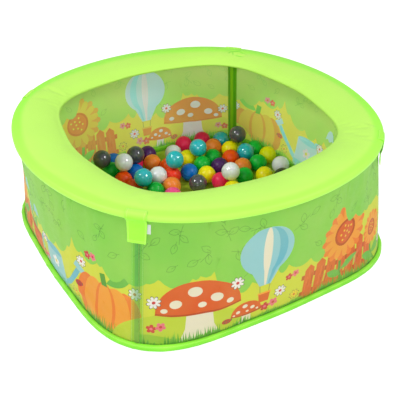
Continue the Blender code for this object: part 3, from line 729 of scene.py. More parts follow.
    def side_b(self, length):
        self.blob(34, 0, 18, 9.5, "hill", 40)
        self.ground(length, 2.1)
        self.hedge(-22, 22, 19.0, 6, 7)
        self.hedge(19, 54, 15.5, 7, 7)
        self.hedge(51, 88, 18.5, 11, 7)
        self.fence(4.0, 5, 0.6, 13.0, 9)
        self.pot(27.5, 0.6, 10.0, 8.0)
        self.sunflower(12.5, 17.5, 7.4, 0.2)
        self.watering_can(41.5, 1.2, 11.0)
        self.pumpkin(63.0, 7.4, 9.4, 6.6)
        for x, y in ((22.0, 12.0), (36.0, 11.5), (55.0, 15.5), (71.2, 14.0)):
            self.daisy(x, y, 1.5)
        self.daisy(51.5, 4.6, 1.4, "yellow")
        self.blossoms(33.4, 4.8)
        self.blossoms(57.5, 18.6, 0.85)
        self.beetle(53.6, 8.6)
        self.turf(length, 2)
        for x, n, seed in ((6.0, 20, 6), (56.0, 24, 9)):
            self.tuft(x, 1.2, 3.4, n, seed)


# Walls
PLAN_T = np.linspace(0, 2 * pi, 8193)


def arc_table(radius):
    r = radius(PLAN_T)
    x, y = r * np.cos(PLAN_T), r * np.sin(PLAN_T)
    return np.concatenate([[0], np.cumsum(np.hypot(np.diff(x), np.diff(y)))])


WALL_ARC = arc_table(lambda t: (base_ring(t) + rim_ring(t)) / 2 - sum(WALL_INSETS) / 2)
ROUND = WALL_ARC[-1]
SIDE = ROUND / 4


def wall_angle(corner_degrees, x):
    """The plan angle at x metres of cloth from a corner."""
    start = np.interp(radians(corner_degrees), PLAN_T, WALL_ARC)
    return np.interp((start + x) % ROUND, WALL_ARC, PLAN_T)


def wall_radius(t, z):
    """Distance of the wall's middle from the pit's middle."""
    low, high = base_ring(t) - WALL_INSETS[0], rim_ring(t) - WALL_INSETS[1]
    return low + (high - low) * np.clip((z - HEM_TOP) / (WALL_TOP - HEM_TOP), 0, 1)


def wall_ripple(t, z):
    """How far the cloth stands out of its plain shape: creases over the hem and soft waves higher up."""
    corner = np.abs(((t / (pi / 2)) % 1) - 0.5) * 2
    away = smoothstep(1 - corner, 0.07, 0.2)
    foot = (1 - smoothstep(z, 0.02, 0.075)) * smoothstep(z, HEM_TOP - 0.004, 0.03)
    head = smoothstep(z, 0.27, 0.312) * (1 - smoothstep(z, 0.314, WALL_TOP))
    body = smoothstep(z, 0.02, 0.12) * (1 - smoothstep(z, 0.24, WALL_TOP))
    fine = waves(t, 3, 7, 60, 150)
    slow = waves(t + 0.5 * z, 4, 5, 9, 26)
    upper = waves(t, 6, 6, 50, 110)
    return away * (0.0011 * foot * fine + 0.0006 * head * upper + 0.0017 * body * slow)


WALL_COLUMNS, WALL_ROWS = 320, 36
WALL_FOOT = 0.0105
# beside each corner the wall is held flat this far, by its sleeve and its hook patch
HELD_WIDTH = 0.028


def settle_wall():
    """How far the stretched cloth buckles between its hems and sleeves, on a regular net."""
    x = np.arange(WALL_COLUMNS) * ROUND / WALL_COLUMNS
    heights = np.linspace(WALL_FOOT, WALL_TOP, WALL_ROWS)
    t, z = np.meshgrid(wall_angle(CORNERS["front"], x), heights, indexing="ij")
    start = polar(wall_radius(t, z) + wall_ripple(t, z), t, z)
    number = np.arange(WALL_COLUMNS * WALL_ROWS).reshape(WALL_COLUMNS, WALL_ROWS)
    near = np.abs((x + SIDE / 2) % SIDE - SIDE / 2) < HELD_WIDTH
    held = np.concatenate([number[:, :2].ravel(), number[:, -1], number[near].ravel()])
    faces = grid_faces(WALL_COLUMNS, WALL_ROWS, True)
    end = settle(start.reshape(-1, 3), faces, np.unique(held), slack=0.0045).reshape(start.shape)
    return capped(end - start, 0.0035)


def wall_points(x, z, corner, buckle, out):
    """The printed cloth's points: x metres of cloth round from a corner, at the heights z, and out from its
    middle."""
    t = wall_angle(CORNERS[corner], x)
    r = wall_radius(t, z) + wall_ripple(t, z) + out
    column = (list(CORNERS).index(corner) * SIDE + x) % ROUND / ROUND * WALL_COLUMNS
    row = (z - WALL_FOOT) / (WALL_TOP - WALL_FOOT) * (WALL_ROWS - 1)
    i, j = np.floor(column).astype(int), np.clip(np.floor(row).astype(int), 0, WALL_ROWS - 2)
    a, b = (column - i)[:, None], np.clip(row - j, 0, 1)[:, None]
    i, k = i % WALL_COLUMNS, (i + 1) % WALL_COLUMNS
    below = buckle[i, j] * (1 - a) + buckle[k, j] * a
    above = buckle[i, j + 1] * (1 - a) + buckle[k, j + 1] * a
    return polar(r, t, z) + (below * (1 - b) + above * b)


def cut_print(length, height, low):
    """The print over two sides, as triangles that each lie in one colour: points, triangles, shade names."""
    art = Art()
    for k in range(-1, 3):
        art.shift = k * SIDE * 100
        (art.side_a if k % 2 == 0 else art.side_b)(SIDE * 100)
    shapes = [(p, s) for p, s in art.shapes if p[:, 0].max() > 0 and p[:, 0].min() < length]
    across, up = np.linspace(0, length, 181), np.linspace(low, height, 38)
    border = [(x, low) for x in across[:-1]] + [(length, y) for y in up[:-1]]
    border += [(x, height) for x in across[:0:-1]] + [(0, y) for y in up[:0:-1]]
    verts, edges = [], []
    for line in [border] + [p for p, _ in shapes]:
        first, count = len(verts), len(line)
        verts += [Vector((float(x), float(y))) for x, y in line]
        edges += [(first + k, first + (k + 1) % count) for k in range(count)]
    # an even net of points keeps the triangles small enough to bend with the cloth
    pitch = 0.009
    inner_x, inner_y = np.arange(pitch / 2, length, pitch), np.arange(low + 0.004, height, pitch)
    verts += [Vector((x, y)) for x in inner_x for y in inner_y]
    out, _, tris, *_ = geometry.delaunay_2d_cdt(verts, edges, [], 0, 1e-5, False)
    out, tris = np.array([tuple(v) for v in out]), np.array([tuple(t) for t in tris])
    middle = out[tris].mean(1)
    margin = 1e-6
    inside = np.all((middle > (margin, low + margin)) & (middle < (length - margin, height - margin)), axis=1)
    tris, middle = tris[inside], middle[inside]
    used = np.zeros(len(out), bool)
    used[tris.ravel()] = True
    number = np.cumsum(used) - 1
    top = np.zeros(len(tris), int)
    for k, (p, _) in enumerate(shapes, 1):
        near = np.nonzero(np.all((middle > p.min(0)) & (middle < p.max(0)), axis=1))[0]
        x, y = middle[near, 0:1], middle[near, 1:2]
        (x0, y0), (x1, y1) = p.T, np.roll(p, -1, 0).T
        turn = (x1 - x0) * (y - y0) - (x - x0) * (y1 - y0)
        wind = ((y0 <= y) & (y1 > y) & (turn > 0)).sum(1)
        wind = wind - ((y0 > y) & (y1 <= y) & (turn < 0)).sum(1)
        top[near[wind != 0]] = k
    shades = ["meadow"] + [s for _, s in shapes]
    return out[used], number[tris].tolist(), [shades[k] for k in top]


def wall_material(name, inside):
    """The print and its weave, with painted shade on the right side, darkest where the post and its sleeve
    stand behind it at the corners, and painted light on the wrong side, most of all under the rim."""
    m = Nodes(
        name, sheen_weight=0.04, sheen_roughness=0.5, specular_ior_level=0.25,
        subsurface_weight=1.0, subsurface_scale=0.004, subsurface_radius=(1.0, 1.0, 1.0),
    )
    place = m.place()
    ink = m.node("Attribute", attribute_name="ink").outputs["Color"]
    slow = m.noise(place, 7.0, 2.0)
    threads = m.weave(m.cloth_uv(), 0.0018)
    ink = m.mix(m.ramp(slow, 0.3, 0.7, 0.0, 0.12), ink, srgb(236, 240, 130))
    split = m.node("SeparateXYZ", Vector=m.cloth_uv())
    # the front seam leans a little to one side, more so at its foot
    spot = m.node("SeparateXYZ", Vector=place)
    front = m.math("LESS_THAN", m.math("ADD", spot.outputs[0], spot.outputs[1]), -0.45)
    lean = m.math("MULTIPLY", front, m.math("MULTIPLY_ADD", spot.outputs[2], -0.008, 0.0055))
    corner = m.math("PINGPONG", m.math("ADD", split.outputs[0], lean), SIDE / 2)
    if inside:
        # painted light: the wrong side's ink is brightened and lifted to make up for the shade inside the
        # pit, and brighter still towards the top, under the rim's overhang
        ink = m.mix(1.0, ink, (1.45, 1.6, 1.42, 1.0), "MULTIPLY")
        ink = m.mix(1.0, ink, (0.11, 0.17, 0.06, 1.0), "SCREEN")
        painted_light_under_rim = m.mix(1.0, ink, (1.2, 1.3, 1.3, 1.0), "MULTIPLY")
        ink = m.mix(m.ramp(spot.outputs[2], 0.17, 0.31), ink, painted_light_under_rim)
        ink = m.mix(1.0, ink, (0.93, 0.93, 0.88, 1.0), "DARKEN")
    else:
        # painted shade: the right side's ink is darkened overall, and darker still in a strip where the
        # sleeve stands behind the cloth and in a narrower one for the post
        ink = m.mix(1.0, ink, (0.82, 0.785, 0.79, 1.0), "MULTIPLY")
        painted_sleeve_shade = m.ramp(corner, 0.0134, 0.0146, 0.42, 0.0)
        ink = m.mix(painted_sleeve_shade, ink, srgb(84, 184, 48))
        post = m.ramp(corner, 0.0056, 0.0068, 0.34, 0.0)
        ink = m.mix(post, ink, srgb(40, 132, 84))
    dashes = m.stitches([corner, split.outputs[1]], 0, 0.0122)
    ink = m.mix(m.math("MULTIPLY", dashes, 0.5), ink, srgb(240, 250, 190))
    ink = m.mix(m.ramp(spot.outputs[2], 0.012, 0.05, 0.16, 0.0), ink, srgb(96, 150, 30))
    ink = m.mix(m.ramp(threads, 0.0, 1.0, 0.08, 0.0), ink, BLACK)
    folds = m.bump(threads, 0.00012, 0.35, m.bump(m.noise(place, 18.0, 3.0, 0.4), 0.002, 0.35))
    return m.finish(ink, m.ramp(m.noise(place, 90.0), 0.3, 0.7, 0.58, 0.72), folds)


WALL_OUT_PAINTED_SHADE = wall_material("printed_cloth_painted_shade", False)
WALL_IN_PAINTED_LIGHT = wall_material("printed_cloth_reverse_painted_light", True)


def panel_edge(faces):
    """The boundary edges of a triangulation, in their faces' direction."""
    seen = {(a, b): True for f in faces for a, b in zip(f, f[1:] + f[:1])}
    return [(a, b) for a, b in seen if (b, a) not in seen]


def build_wall(name, corner, node, points, tris, shades, buckle):
    """A printed panel over two sides, with a right side and a wrong side."""
    n, edge = len(points), 0.0004
    x, z = np.clip(points[:, 0], edge, 2 * SIDE - edge), points[:, 1]
    verts = np.concatenate([wall_points(x, z, corner, buckle, out) for out in (CLOTH / 2, -CLOTH / 2)])
    tris = [tuple(f) for f in tris]
    faces = tris + [tuple(i + n for i in reversed(f)) for f in tris]
    faces += [(b, a, a + n, b + n) for a, b in panel_edge(tris)]
    obj = mesh_object(name, verts, faces, WALL_OUT_PAINTED_SHADE, WALL_IN_PAINTED_LIGHT)
    mesh = obj.data
    colours = {shade: srgb(*rgb) for shade, rgb in SHADES.items()}
    values = np.zeros((len(mesh.loops), 4), np.float32)
    by_face = [colours[s] for s in shades] * 2 + [colours["meadow"]] * (len(faces) - 2 * len(tris))
    for poly, colour in zip(mesh.polygons, by_face):
        values[poly.loop_start : poly.loop_start + poly.loop_total] = colour
        poly.material_index = 0 if poly.index < len(tris) else 1
    layer = mesh.color_attributes.new("ink", "FLOAT_COLOR", "CORNER")
    layer.data.foreach_set("color", values.ravel())
    add_uv(obj, np.concatenate([points, points]))
    # for the bake, the wrong side is laid out above the right side in one square
    bake = np.concatenate([points, points + [0, 0.34]]) / (2 * SIDE + 0.02) + 0.005
    add_uv(obj, bake, "OFBake")
    mesh.uv_layers.active = mesh.uv_layers["cloth"]
    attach(obj, "pit")
    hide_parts(node)


def build_walls():
    points, tris, shades = cut_print(2 * SIDE, WALL_TOP, WALL_FOOT)
    buckle = settle_wall()
    build_wall("wall_right", "front", "wall_panel_right", points, tris, shades, buckle)
    build_wall("wall_left", "back", "wall_panel_left", points, tris, shades, buckle)


# Padded rim
def rim_section(t):
    """The rim cover's section at the angles t, from its seam under the outer edge over to its seam under the
    mouth."""
    outer, inner = rim_ring(t) - RIM_ROUND, mouth_ring(t) + MOUTH_ROUND
    rows = []
    for a in np.radians(np.linspace(-90, 90, 15)):
        rows.append((outer + RIM_ROUND * cos(a), np.full_like(t, RIM_HEIGHT + RIM_ROUND * sin(a))))
    mouth_z = RIM_HEIGHT - MOUTH_DROP
    edge = radians(106)
    r_end, z_end = inner + MOUTH_ROUND * cos(edge), mouth_z + MOUTH_ROUND * sin(edge)
    for s in np.linspace(0, 1, 23)[1:-1]:
        z = RIM_TOP + (z_end - RIM_TOP) * s + 0.0245 * s * (1 - s) * (1.02 - 0.28 * s)
        rows.append((outer + (r_end - outer) * s, np.full_like(t, z)))
    for a in np.linspace(edge, radians(270), 12):
        rows.append((inner + MOUTH_ROUND * cos(a), np.full_like(t, mouth_z + MOUTH_ROUND * sin(a))))
    return rows


def pucker(r, t, start, end, width):
    """0 to 1 along a short crease between two places on the rim."""
    x, y = r * np.cos(t), r * np.sin(t)
    a, b = (step(0.0, 0.0, reach, radians(turn)) for reach, turn in (start, end))
    along = np.clip(((x - a[0]) * (b[0] - a[0]) + (y - a[1]) * (b[1] - a[1])) / np.sum((b - a) ** 2), 0, 1)
    off = np.hypot(x - a[0] - along * (b[0] - a[0]), y - a[1] - along * (b[1] - a[1]))
    return np.exp(-((off / width) ** 2)) * (1 - 0.6 * np.abs(2 * along - 1))


# Puckers where the padding bends round a corner: from (radius, degrees) to (radius, degrees), and depth.
PUCKERS = (
    ((0.424, 45.6), (0.438, 39.6), 0.0030), ((0.411, 42.6), (0.420, 39.2), 0.0024),
    ((0.436, 47.2), (0.428, 51.0), 0.0012), ((0.452, 217.5), (0.468, 215.0), 0.0008),
    ((0.450, 232.0), (0.466, 234.5), 0.0008), ((0.40, 311.0), (0.418, 308.5), 0.0009),
    ((0.44, 320.0), (0.462, 322.0), 0.0011), ((0.395, 138.5), (0.41, 142.5), 0.0009),
    ((0.43, 131.0), (0.455, 129.5), 0.0009),
)
# where the painted shade along the cover's outer edge is widest, in degrees
WIDEST_PAINTED_SHADE = 59


def build_rim():
    n = 480
    t = circle(n)
    rows = rim_section(t)
    m = len(rows)
    grid, uv = blank(n, m)
    tone_and_painted_light, run, before = np.zeros((n, m)), np.zeros(n), None
    arc = np.interp(t, PLAN_T, arc_table(rim_ring))
    edge = rim_ring(t)
    away = 0.5 + 0.5 * np.cos(t - radians(WIDEST_PAINTED_SHADE))
    for j, (r, z) in enumerate(rows):
        share = j / (m - 1)
        broad = smoothstep(share, 0.32, 0.46) * (1 - smoothstep(share, 0.62, 0.74))
        near_edge = smoothstep(share, 0.28, 0.33) * (1 - smoothstep(share, 0.33, 0.44))
        near_mouth = smoothstep(share, 0.56, 0.66) * (1 - smoothstep(share, 0.70, 0.78))
        lift = 0.0007 * broad * (1 + waves(t, 11, 6, 4, 22))
        lift = lift + 0.0003 * near_edge * (1 + waves(t, 12, 6, 60, 130))
        lift = lift + 0.0002 * near_mouth * (1 + waves(t, 13, 6, 70, 150))
        fold = np.zeros(n)
        for start, end, depth in PUCKERS:
            here, beside = (pucker(r, t, start, end, width) for width in (0.0032, 0.0085))
            fold = fold + depth * (beside * 1.5 - here * 1.7)
        lift = lift + fold * broad
        if before is not None:
            run = run + np.hypot(r - before[0], z - before[1])
        before = (r, z)
        grid[:, j] = polar(r, t, z + lift)
        uv[:, j] = np.stack([arc, run], -1)
        # painted shade: a deeper green band along the cover's outer edge, widest towards
        # WIDEST_PAINTED_SHADE, and on the underside of the outer roll
        reach = 0.016 + 0.022 * away**3 + 0.003 * waves(t, 15, 4, 3, 9)
        fade = smoothstep(edge - r, reach, reach + 0.012 + 0.02 * away**3)
        band = 1 - fade if share < 0.8 else 0.0
        tone_and_painted_light[:, j] = band * (0.5 + 0.5 * smoothstep(away, 0.15, 0.6)) + 0.4 * (share < 0.08)
    number = np.arange(n * m).reshape(n, m)
    held = np.concatenate([number[:, :3].ravel(), number[:, -6:].ravel()])
    faces = grid_faces(n, m, True)
    end = settle(grid.reshape(-1, 3), faces, held, slack=0.0035, stiffness=20.0, pressure=2.5)
    free = 0.2 + 0.8 * smoothstep(np.arange(m) / (m - 1), 0.30, 0.42)
    move = capped(end.reshape(grid.shape) - grid, 0.0022) * free[None, :, None]
    # The padding is firm, so the cloth only rises from it.
    normal = np.cross(np.roll(grid, -1, 0) - np.roll(grid, 1, 0), np.gradient(grid, axis=1))
    normal /= np.linalg.norm(normal, axis=-1, keepdims=True)
    inward = np.minimum((move * normal).sum(-1, keepdims=True), 0)
    grid = grid + move - inward * normal
    obj = loft("rim_cover", grid, COVER, uv=uv)
    add_value(obj, "tone_and_painted_light", tone_and_painted_light)
    solidify(obj, COVER_CLOTH)
    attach(obj, "pit")
    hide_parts("rim_cover_top")
    build_underside(t, arc)


def build_underside(t, arc):
    """The flat band between the rim hoop and the mouth hoop."""
    strips = 5
    band, uv = blank(len(t), strips)
    outer, inner = rim_ring(t) - RIM_ROUND - 0.0004, mouth_ring(t) + MOUTH_ROUND + 0.0004
    for j in range(strips):
        r = outer + (inner - outer) * j / (strips - 1)
        z = UNDERSIDE + (RIM_HEIGHT - MOUTH_DROP - MOUTH_ROUND - UNDERSIDE) * j / (strips - 1)
        band[:, j] = polar(r, t, z)
        uv[:, j] = np.stack([arc, outer - r], -1)
    under = loft("rim_underside", band, UNDER, uv=uv, flip=True)
    solidify(under, COVER_CLOTH)
    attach(under, "pit")
    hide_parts("rim_cover_underside")


# Base binding and floor
# The binding's section: outwards from the base's outline, and height.
HEM_SECTION = (
    (-0.0175, 0.0), (-0.008, 0.0), (-0.003, 0.0003), (-0.0007, 0.0022), (0.0, 0.005), (0.0001, 0.0085),
    (-0.0008, 0.0118), (-0.003, 0.0142), (-0.0062, 0.0152), (-0.0095, 0.0151), (-0.0100, 0.0146),
    (-0.0104, 0.0110), (-0.0126, 0.0110), (-0.0130, 0.0147), (-0.0140, 0.0152), (-0.0163, 0.0148),
    (-0.0174, 0.0132), (-0.0177, 0.008), (-0.0177, 0.003),
)


def build_binding():
    n, m = 512, len(HEM_SECTION)
    t = circle(n)
    grid, uv = blank(n, m)
    off_seams = [(np.degrees(t) - seam + 180) % 360 - 180 for seam in HEM_SEAMS]
    notch = sum(np.exp(-((off / 0.55) ** 2)) for off in off_seams)
    arc = np.interp(t, PLAN_T, arc_table(base_ring))
    run = 0.0
    for j, (off, z) in enumerate(HEM_SECTION):
        if j:
            run += hypot(off - HEM_SECTION[j - 1][0], z - HEM_SECTION[j - 1][1])
        show = smoothstep(z, 0.001, 0.004) * (1.0 if off > -0.0098 else 0.2)
        swell = show * (0.0008 * waves(t, 21, 7, 30, 110) + 0.0004 * waves(t, 22, 6, 150, 330))
        r = base_ring(t) + off + swell * (1 if off > -0.006 else 0) - 0.0012 * notch * show
        grid[:, j] = polar(r, t, z + swell * (0.8 if z > 0.01 else 0.0) - 0.0026 * notch * (z > 0.0112))
        uv[:, j] = np.stack([arc, np.full_like(t, run)], -1)
    obj = loft("base_hem", grid, BINDING, closed_section=True, uv=uv)
    # painted light: the upper part of the binding is lighter, with a share that wanders at random round it
    rise = 0.5 * smoothstep(grid[:, :, 2], 0.008, 0.014)
    add_value(obj, "tone_and_painted_light", rise + 0.35 * waves(t, 27, 6, 20, 60)[:, None])
    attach(obj, "pit")
    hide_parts("base_binding")


def build_floor(spots):
    """The floor cloth, creased where no ball of those at the (x, y) places lies on it."""
    n, m = 192, 44
    t = circle(n)
    grid, uv = blank(n, m)
    spots = np.array(spots)
    edge = base_ring(t) - FLOOR_INSET
    for j in range(m):
        share = 0.002 + 0.998 * (j / (m - 1)) ** 0.8
        r = edge * share
        x, y = r * np.cos(t), r * np.sin(t)
        near = np.min(np.hypot(x[:, None] - spots[:, 0], y[:, None] - spots[:, 1]), axis=1)
        free = smoothstep(near, 0.012, 0.035) * (1 - smoothstep(share, 0.94, 0.995))
        fold = 0.5 + 0.5 * np.sin(55 * x + 18 * np.sin(7 * y) + 9 * y)
        across = 0.5 + 0.5 * np.sin(41 * y - 22 * np.sin(6 * x + 1))
        z = 0.001 + free * 0.0022 * (fold**4 * 0.6 + across**5 * 0.5)
        grid[:, j] = np.stack([x, y, z], -1)
        uv[:, j] = np.stack([x, y], -1)
    obj = loft("floor_cloth", grid, FLOOR, uv=uv, flip=True)
    solidify(obj, FLOOR_THICK)
    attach(obj, "pit")
    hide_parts("floor_sheet")


# Corners
def place_grid(grid, degrees):
    """Points (outwards, sideways, height) at a corner as points (x, y, z)."""
    t = radians(degrees)
    out, side, up = np.array([cos(t), sin(t), 0]), np.array([-sin(t), cos(t), 0]), np.array([0, 0, 1.0])
    return grid[..., 0:1] * out + grid[..., 1:2] * side + grid[..., 2:3] * up


def wall_inside(side, z):
    """Outward distance of the wall's inner face at a sideways distance from a corner's diagonal."""
    # the angle for a first guess of the distance, corrected below
    t = np.arcsin(np.clip(side / 0.47, -1, 1))
    for _ in range(4):
        r = wall_radius(pi / 4 + t, z) - CLOTH / 2
        t = np.arcsin(np.clip(side / r, -1, 1))
    return r * np.cos(t)


# half the sleeve's width on the wall, and its whole width laid flat
SLEEVE_HALF, SLEEVE_FLAT = 0.014, 0.0425


def build_sleeve(corner, degrees):
    """A sleeve over its post: round it, then straight down to the wall on both sides, where it lies flat."""
    n, m = 61, 33
    z = np.linspace(HEM_TOP + 0.0004, WALL_TOP, n)
    w = np.linspace(-SLEEVE_HALF, SLEEVE_HALF, m)
    grid, uv = blank(n, m)
    share = (z - HEM_TOP) / (WALL_TOP - HEM_TOP)
    axis_out = POST_OUT[0] + (POST_OUT[1] - POST_OUT[0]) * share - 0.00555
    # radius over the post, where the sleeve comes to the wall, and where it leaves the post
    reach, lands, off_wall = 0.0061, 0.0105, 0.0004
    leaves, drop = reach * 0.93, reach * 0.35
    for j, s in enumerate(w):
        flat = wall_inside(s, z) - off_wall
        over = axis_out - np.sqrt(np.maximum(reach**2 - s**2, 0)) if abs(s) < reach else flat
        tent = axis_out - drop + (abs(s) - leaves) / (lands - leaves) * (flat - axis_out + drop)
        tent = np.where(abs(s) < leaves, over, np.where(abs(s) < lands, tent, flat))
        slack = 0.0004 * np.sin(z * 150 + degrees) * np.exp(-((abs(s) - 0.008) / 0.003) ** 2)
        grid[:, j] = np.stack([np.minimum(flat, tent) + slack, np.full(n, s), z], -1)
        uv[:, j] = np.stack([np.full(n, s), z], -1)
    face = grid[:, :, 0]
    grid[:, :, 0] = (face + np.roll(face, 1, 1) + np.roll(face, -1, 1)) / 3 * 0.5 + face * 0.5
    for j in (0, -1):
        grid[:, j, 0] = wall_inside(w[j], z) - off_wall
    obj = loft("sleeve_" + corner, place_grid(grid, degrees), SLEEVE, closed=False, uv=uv)
    across, up = np.abs(uv[:, :, 0]), uv[:, :, 1]
    # painted highlight along the sleeve's round crown, fading out under the rim, and a little painted light
    # where it lies flat at its edges
    painted_crown_highlight = (1 - smoothstep(across, 0.0022, 0.0052)) * (1 - smoothstep(up, 0.27, 0.315))
    add_value(obj, "tone_and_painted_light", painted_crown_highlight + 0.2 * smoothstep(across, 0.009, 0.013))
    solidify(obj, TAPE, 1.0)
    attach(obj, "pit")
    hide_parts("post_sleeve_" + corner)


def wall_face(z):
    """Outward distance of the wall's outer face on a corner's diagonal."""
    return float(wall_radius(np.array([pi / 4]), np.array([z]))[0]) + CLOTH / 2


def spline(points, count):
    """A smooth line through points."""
    p = np.array(points, float)
    p = np.concatenate([[2 * p[0] - p[1]], p, [2 * p[-1] - p[-2]]])
    line = []
    for k in range(1, len(p) - 2):
        for t in np.linspace(0, 1, 12, endpoint=False):
            a, b, c, d = p[k - 1 : k + 3]
            square, cube = (2 * a - 5 * b + 4 * c - d) * t**2, (3 * b - a - 3 * c + d) * t**3
            line.append(0.5 * (2 * b + (c - a) * t + square + cube))
    line = np.array(line + [p[-2]])
    along = np.concatenate([[0], np.cumsum(np.hypot(*np.diff(line, axis=0).T))])
    at = np.linspace(0, along[-1], count)
    return np.stack([np.interp(at, along, line[:, k]) for k in range(line.shape[1])], 1), at


# where a tab is stitched to the rim's top, and how far over the cover it lies
TAB_SEAM, TAB_OVER = 0.006, 0.0006
# how a tab hangs off the wall: height, and how much of its slack shows there
TAB_HANG = ((0.318, 1.0), (0.302, 0.35), (0.286, 0.0), (0.271, 0.0))
# half its width, and the radius that it takes across from the corner behind it
TAB_HALF, TAB_ROUND = 0.023, 0.35


def tab_line(corner, count):
    """The tab's inner face in the corner's plane, from its stitched edge over the rim and down to its tip."""
    middle, reach = RIM_CORNER - RIM_ROUND, RIM_ROUND + TAB_OVER
    path = [(middle - TAB_SEAM, RIM_HEIGHT + reach)]
    for a in np.radians((0, 22, 45, 67, 90, 108)):
        path.append((middle + reach * sin(a), RIM_HEIGHT + reach * cos(a)))
    path += [(wall_face(z) + 0.0035 + TAB_SLACK[corner] * k, z) for z, k in TAB_HANG]
    path[-1] = (path[-1][0] + 0.0012, path[-1][1])
    return spline(path, count)


def build_tab(corner, degrees):
    n, m = 84, 33
    line, along = tab_line(corner, n)
    total = along[-1]
    normal = np.abs(left_of(line))
    half = TAB_HALF - 0.0024 * smoothstep(along, 0.022, total)
    half = half - 0.0012 * np.clip((along - (total - 0.003)) / 0.003, 0, 1) ** 2
    leg = smoothstep(along, 0.024, 0.036)
    tip_hem = smoothstep(along, total - 0.0044, total - 0.0034)
    pillow = np.sin(np.clip((along - 0.03) / (total - 0.03), 0, 1) * pi) ** 0.7
    grid, uv = blank(n, m)
    tone_and_painted_light = np.zeros((n, m))
    for j in range(m):
        s = (j / (m - 1)) * 2 - 1
        # a folded hem stands a little proud along both sides and the tip, and the leg is softly pillowed
        hem = np.clip(smoothstep(abs(s) * half, half - 0.0040, half - 0.0030) + tip_hem, 0, 1)
        rise = 0.0003 * hem * leg + 0.0007 * (1 - s * s) * leg * pillow
        rise = rise + 0.0007 * s**4 * smoothstep(along, 0.05, total)
        rise = rise + 0.0002 * np.sin(along * 420 + s * 5 + degrees) * leg
        side = half * s
        out = line[:, 0] + normal[:, 0] * rise - side**2 / (2 * TAB_ROUND)
        height = line[:, 1] + normal[:, 1] * rise * (1 - leg)
        grid[:, j] = np.stack([out, side + TAB_LEAN[corner], height], -1)
        uv[:, j] = np.stack([side, along], -1)
        # painted light: the part that lies over the rim is lighter, less so on the right tab, and so are the
        # raised hems of the leg
        upper = (1 - smoothstep(along, 0.008, 0.023)) * (0.35 if corner == "right" else 0.8)
        tone_and_painted_light[:, j] = upper + 0.3 * hem * leg
    obj = loft("tab_" + corner, place_grid(grid, degrees), TAB, closed=False, uv=uv)
    add_value(obj, "tone_and_painted_light", tone_and_painted_light)
    solidify(obj, TAB_THICK, 1.0)
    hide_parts("corner_tab_" + corner)
    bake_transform(obj)


# the heights between which the patches lie
PATCH_HEIGHTS = (0.2922, 0.3138)
# width, sideways shift and distance off the wall of a hook patch, and width and distance of a loop patch
HOOK_PATCH, LOOP_WIDTH, LOOP_OFF = (0.042, 0.004, 0.0006), 0.032, 0.0018


def build_patch(name, node, body, degrees, width, shift, reach, material, slot, carrier):
    """A sewn patch of hook or loop tape that follows the wall's lean."""
    n, m = 14, 20
    z = np.linspace(*PATCH_HEIGHTS, n)
    grid, uv = blank(n, m)
    for j in range(m):
        s = (j / (m - 1) - 0.5) * width + shift
        out = np.array([float(wall_inside(np.array([s]), np.array([h]))[0]) for h in z]) + CLOTH + reach
        grid[:, j] = np.stack([out, np.full(n, s), z], -1)
        uv[:, j] = np.stack([np.full(n, s), z], -1)
    obj = loft(name, place_grid(grid, degrees), material, closed=False, uv=uv)
    solidify(obj, TAPE, 1.0)
    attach(obj, body)
    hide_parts(node)


# Balls
BALL_COLOURS = {
    "dark_grey": (76, 76, 84),
    "white": (240, 240, 246),
    "teal": (16, 186, 198),
    "blue": (0, 116, 210),
    "green": (0, 186, 56),
    "yellow": (255, 236, 0),
    "orange_red": (255, 84, 0),
    "red": (255, 58, 26),
    "orange": (255, 140, 48),
    "crimson": (255, 34, 94),
    "pink": (255, 84, 150),
    "purple": (78, 24, 100),
    "black": (36, 36, 42),
    "lime_yellow": (232, 230, 0),
}
# The balls that the CAD has no nodes for: colour, and x and y in ball diameters.
MORE_BALLS = (
    ("blue", -1.34, 6.97), ("purple", 0.74, 6.75), ("orange", 0.51, 5.73), ("black", -1.72, 2.85),
    ("pink", -0.18, 2.05), ("orange_red", 1.11, 4.91), ("white", 2.09, 6.09), ("crimson", 3.14, 6.72),
    ("crimson", 4.38, 6.64), ("green", 3.82, 4.51), ("blue", 1.81, 3.75), ("yellow", 2.53, 3.04),
    ("dark_grey", 1.64, 2.51), ("teal", 5.37, 6.08), ("orange", 4.74, 2.76), ("purple", 3.65, 3.44),
    ("green", 4.26, 1.84), ("lime_yellow", 6.75, 3.14), ("yellow", 5.26, 1.34), ("white", 6.73, 1.83),
    ("black", 6.07, 0.73),
)
# how far a ball's underside lies above the ground, and how far one that lies on others is raised by
# their mould ridges
ON_FLOOR, ON_BALLS = 0.0014, 0.0004
# the middles of the balls that lie on others are above this height
UPPER = 0.04
GLOSSY = ("dark_grey", "white", "teal", "black")


def ball_material(name, colour):
    """Blow-moulded plastic, slightly translucent, with faint orange peel and scuffs. Some batches are
    glossier."""
    bright = name in GLOSSY
    m = Nodes(
        "plastic_" + name,
        coat_weight=0.8 if bright else 0.15,
        coat_roughness=0.05 if bright else 0.2,
        coat_ior=1.85 if bright else 1.5,
        specular_ior_level=0.1 if bright else 0.28,
        subsurface_weight=0.3,
        subsurface_scale=0.01,
        subsurface_radius=(1.0, 1.0, 1.0),
    )
    place = m.place()
    scuff = m.noise(place, 38.0, 4.0, 0.6)
    lighter = tuple(min(1.0, c * 1.06 + 0.012) for c in colour[:3]) + (1.0,)
    colour = m.mix(m.ramp(scuff, 0.45, 0.8), colour, lighter)
    smooth, rough = (0.3, 0.38) if bright else (0.34, 0.44)
    peel = m.bump(m.noise(place, 420.0, 2.0), 0.00006, 0.2)
    return m.finish(colour, m.ramp(scuff, 0.35, 0.75, smooth, rough), peel)


